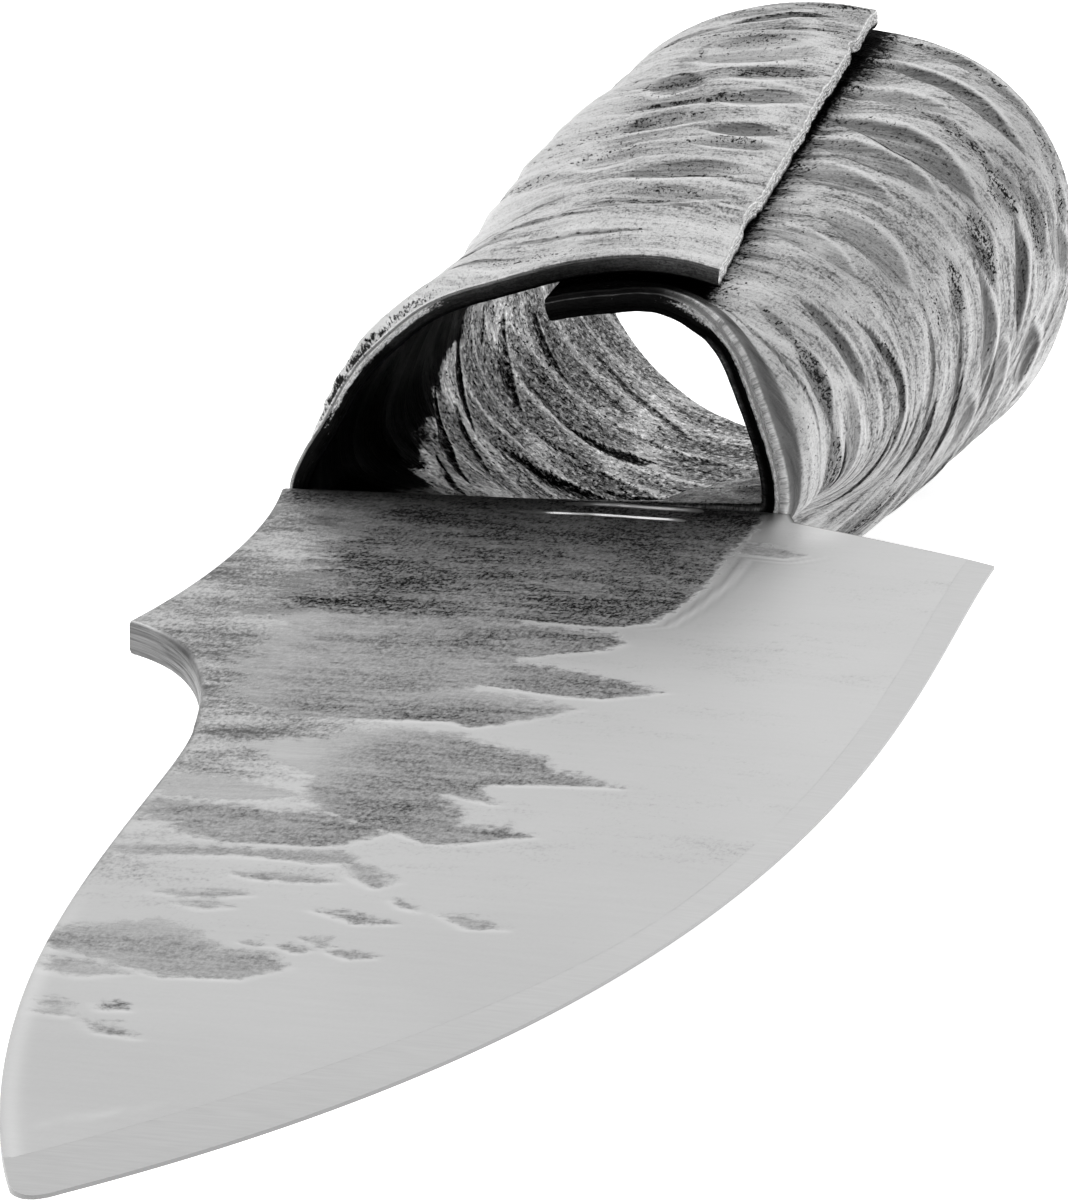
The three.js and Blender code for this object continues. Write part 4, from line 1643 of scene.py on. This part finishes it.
    def sheet(self) -> Skin:
        """Builds the rolled sheet with rounded borders and rough cut rims.

        Returns:
            Its skin.
        """
        grid = self.lay_out()
        share, y, wrap, margin = grid.share, grid.y, grid.wrap, grid.margin
        out_height, in_height, values = self.marks(grid)
        half = self.half_thickness(grid)
        calm = smooth_rise(margin, 0.0, 3.0)
        hidden_out = 1.0 - 0.85 * smooth_rise(grid.under_seam(), -2.0, 1.0)
        hidden_in = 0.2 + 0.8 * smooth_rise(share, 0.1, 0.2)
        thinned = grid.floor * (0.3 + 0.4 * smooth_rise(share, 0.46, 0.54))
        out_half = half + out_height * calm * hidden_out
        in_half = half + in_height * calm * hidden_in - thinned

        ragged = 0.3 * ripple(wrap / 1.6, 0.0 * wrap, Seed.RAGGED_END) * fall(margin, 0.0, 1.2)
        torn = 0.14 * ripple(y / 1.3, 0.0 * y, Seed.SEAM_FINE) + 0.35 * bell(y, 94.0, 1.6)
        torn = torn + 0.2 * ripple(y / 8.0, 0.0 * y, Seed.SEAM_BROAD) + 0.35 * bell(y, 24.0, 5.0)
        at_seam = fall(wrap, 0.0, 1.2)
        middle = grid.middle + grid.slope * (torn * at_seam)[..., None]
        middle = np.insert(middle, 1, y + ragged, axis=2)
        out = np.insert(grid.out, 1, 0.0, axis=2)
        bevel = np.insert(grid.slope, 1, 0.0, axis=2) * (self.bevel * at_seam)[..., None]
        inner = middle - out * in_half[..., None] - bevel
        return self.close(middle + out * out_half[..., None], inner, values, margin)

    def close(self, outer: Floats, inner: Floats, values: dict[str, Floats], margin: Floats) -> Skin:
        """Joins the two sides of the sheet along their four borders.

        Args:
            outer: Points of the outside.
            inner: Points of the inside.
            values: Per-point values of the outside and the inside.
            margin: Distance from the nearest border.

        Returns:
            The closed skin.
        """
        rows, columns = margin.shape
        count = rows * columns
        index = np.arange(count).reshape(rows, columns)
        quads = np.stack([index[:-1, :-1], index[:-1, 1:], index[1:, 1:], index[1:, :-1]], -1).reshape(-1, 4)
        loop = np.concatenate([index[0, :-1], index[:-1, -1], index[-1, :0:-1], index[:0:-1, 0]])
        flat_outer, flat_inner = outer.reshape(-1, 3), inner.reshape(-1, 3)
        wrap = values["wrap"][0].reshape(-1, 3)
        front = np.sign(flat_outer[loop][:, 1] - self.middle_y)
        at_mouth = front < 0.0
        reach = wrap[loop, 0] / wrap[:, 0].max()
        thick, flank = THICK_RIM.at(reach) * at_mouth, TORN_RIM.at(reach) * at_mouth
        plain = at_mouth * (0.3 + 0.7 * fall(reach, 0.03, 0.1)) * (reach < 0.24)
        points, bands, burrs = [flat_outer, flat_inner], [loop], []
        for row in range(1, self.rim_rows):
            part = row / self.rim_rows
            spots = flat_outer[loop] * (1.0 - part) + flat_inner[loop] * part
            rough = ripple(wrap[loop, 0] / 0.9, np.full(len(loop), part * 2.0), Seed.CUT_RIM + row)
            spots[:, 1] += front * (0.07 * rough + 0.25 * math.sin(math.pi * part))
            bands.append(2 * count + (row - 1) * len(loop) + np.arange(len(loop)))
            points.append(spots)
            deep = np.array(part)
            torn = thick * 1.1 * fall(deep, 0.35, 0.65) + flank * fall(deep, 0.3, 0.6)
            burrs.append(np.where(reach < 1e-6, 1.2 * (part < 0.2) + 0.56 * (0.2 <= part < 0.85), torn))
        bands.append(loop + count)
        walls = [np.stack([b, np.roll(b, -1), np.roll(a, -1), a], -1) for a, b in zip(bands, bands[1:])]
        faces = np.concatenate([quads, quads[:, ::-1] + count] + walls)

        rims = self.rim_rows - 1
        spare = np.zeros(len(loop) * rims)
        brim = BRIM.at(wrap[:, 0] / wrap[:, 0].max()) * (flat_outer[:, 1] < self.middle_y)
        brim = brim * fall(margin.ravel(), 0.22, 0.34)
        outer_rim = np.maximum(fall(wrap[:, 0], 0.02, 0.15), brim)
        rim_place = np.stack([np.tile(wrap[loop, 0], rims), np.concatenate(points[2:])[:, 1],
                              60.0 + np.repeat(np.arange(rims), len(loop)) * 1.0], -1)
        joined = {
            "wrap": np.concatenate([values["wrap"].reshape(-1, 3), rim_place]),
            "inside": np.concatenate([np.zeros(count), np.ones(count), spare]),
            "rim": np.concatenate([outer_rim, fall(margin.ravel(), 0.05, 0.25), spare + 1.0]),
            "burr": np.concatenate([np.full(count, 0.9), np.zeros(count), np.concatenate(burrs)]),
            "smooth": np.concatenate([values["smooth"].ravel(), np.tile(plain, rims)]),
        }
        for name in ("ridge", "hollow", "pitted", "painted_shadow"):
            joined[name] = np.concatenate([values[name].ravel(), spare])
        return Skin(np.concatenate(points), faces.tolist(), joined)

    def add_tongue(self, skin: Skin) -> None:
        """Adds the flat tongue that runs forward between the blade's layers.

        Args:
            skin: The sheet's skin, which is extended.
        """
        wide, long, thick = self.tongue
        x = np.array([-0.5, 0.5, 0.5, -0.5]) * wide
        y = np.array([-long, -long, 0.0, 0.0])
        start = len(skin.points)
        low = np.stack([x, y, np.full(4, -0.49 * thick)], -1)
        high = np.stack([x, y, np.full(4, 0.49 * thick)], -1)
        skin.points = np.concatenate([skin.points, low, high])
        sides = [[k, (k + 1) % 4, (k + 1) % 4 + 4, k + 4] for k in range(4)]
        for face in [[3, 2, 1, 0], [4, 5, 6, 7], *sides]:
            skin.faces.append([start + k for k in face])
        for label, numbers in skin.values.items():
            pad = np.zeros((8,) + numbers.shape[1:])
            skin.values[label] = np.concatenate([numbers, pad])

    def build(self) -> None:
        """Makes the handle and its finish."""
        skin = self.sheet()
        self.add_tongue(skin)
        settle(skin.make("handle_sheet", self.finish.material()), "rolled_handle")


@dataclass(frozen=True)
class Softbox:
    """One large soft lamp that faces a point."""

    name: str
    at: tuple[float, float, float]
    aim: tuple[float, float, float]
    size: tuple[float, float]
    power: float

    def build(self) -> None:
        """Makes the lamp, its places in metres."""
        lamp = bpy.data.lights.new(self.name, "AREA")
        lamp.shape = "RECTANGLE"
        lamp.size, lamp.size_y = self.size
        lamp.energy = self.power
        holder = bpy.data.objects.new(self.name, lamp)
        holder.location = self.at
        direction = Vector(self.aim) - Vector(self.at)
        holder.rotation_euler = direction.to_track_quat("-Z", "Y").to_euler()
        bpy.context.scene.collection.objects.link(holder)


@dataclass
class Studio:
    """Pale floor, soft light and the camera at the photograph's view."""

    camera_at: tuple[float, float, float] = (109.0, -542.25, 105.91)
    yaw: float = -11.369
    pitch: float = 11.394
    roll: float = 0.239
    lens: float = 267.03
    sky: Pair = (0.1, 1.3)
    sky_run: Pair = (-0.5, 0.75)
    overhead: Pair = (0.45, 1.45)
    overhead_run: Pair = (-0.05, 0.45)
    floor_reach: float = 30.0
    floor_tone: float = 0.9
    glow: float = 0.75
    lamps: tuple[Softbox, ...] = (
        Softbox("left_softbox", (-0.9, 0.3, 0.6), (0.0, 0.05, 0.02), (0.5, 0.5), 4.0),
    )

    def camera(self) -> None:
        """Places the camera from its yaw, pitch and roll."""
        yaw, pitch, roll = (math.radians(angle) for angle in (self.yaw, self.pitch, self.roll))
        ahead = Vector((math.sin(yaw) * math.cos(pitch), math.cos(yaw) * math.cos(pitch), -math.sin(pitch)))
        level = Vector((math.cos(yaw), -math.sin(yaw), 0.0))
        rise = level.cross(ahead)
        right = math.cos(roll) * level + math.sin(roll) * rise
        up = math.cos(roll) * rise - math.sin(roll) * level
        data = bpy.data.cameras.new("camera")
        data.lens = self.lens
        data.clip_start = 0.01
        camera = bpy.data.objects.new("camera", data)
        place = Matrix((right, up, -ahead)).transposed().to_4x4()
        place.translation = Vector(to_row(np.array(self.camera_at)))
        camera.matrix_world = place
        bpy.context.scene.collection.objects.link(camera)
        bpy.context.scene.camera = camera

    def floor(self) -> None:
        """Lays the pale floor under the handle."""
        mesh = bpy.data.meshes.new("floor")
        reach = self.floor_reach
        mesh.from_pydata([(-reach, -reach, 0), (reach, -reach, 0), (reach, reach, 0), (-reach, reach, 0)],
                         [], [(0, 1, 2, 3)])
        wires = Wiring("pale_floor")
        wires.surface.inputs["Base Color"].default_value = (self.floor_tone,) * 3 + (1.0,)
        wires.surface.inputs["Roughness"].default_value = 0.9
        wires.surface.inputs["Specular IOR Level"].default_value = 0.1
        wires.surface.inputs["Emission Color"].default_value = (1.0, 1.0, 1.0, 1.0)
        wires.surface.inputs["Emission Strength"].default_value = self.glow
        mesh.materials.append(wires.material)
        floor = bpy.data.objects.new("floor", mesh)
        bpy.context.scene.collection.objects.link(floor)

    def sky_light(self) -> None:
        """Sets the light of the room: bright behind the knife, dim on the camera's side."""
        world = bpy.data.worlds.new("studio")
        world.use_nodes = True
        nodes, links = world.node_tree.nodes, world.node_tree.links
        place = nodes.new("ShaderNodeTexCoord")
        split = nodes.new("ShaderNodeSeparateXYZ")
        links.new(place.outputs["Generated"], split.inputs[0])
        both = nodes.new("ShaderNodeMath")
        both.operation = "MULTIPLY"
        ramps = (("Y", self.sky_run, self.sky), ("Z", self.overhead_run, self.overhead))
        for socket, (axis, run, tones) in zip(both.inputs, ramps):
            rise = nodes.new("ShaderNodeMapRange")
            set_range(rise, run, tones)
            links.new(split.outputs[axis], rise.inputs["Value"])
            links.new(rise.outputs["Result"], socket)
        links.new(both.outputs[0], nodes["Background"].inputs["Strength"])
        nodes["Background"].inputs["Color"].default_value = (1.0, 1.0, 1.0, 1.0)
        bpy.context.scene.world = world
        bpy.context.scene.view_settings.view_transform = "Standard"

    def build(self) -> None:
        """Makes the whole set."""
        self.camera()
        self.floor()
        self.sky_light()
        for lamp in self.lamps:
            lamp.build()


def main() -> None:
    """Builds the set, the blade and the handle."""
    logging.basicConfig(level=logging.INFO, format="%(name)s: %(message)s")
    Studio().build()
    Blade().build()
    RolledHandle().build()


if __name__ == "__main__":
    main()
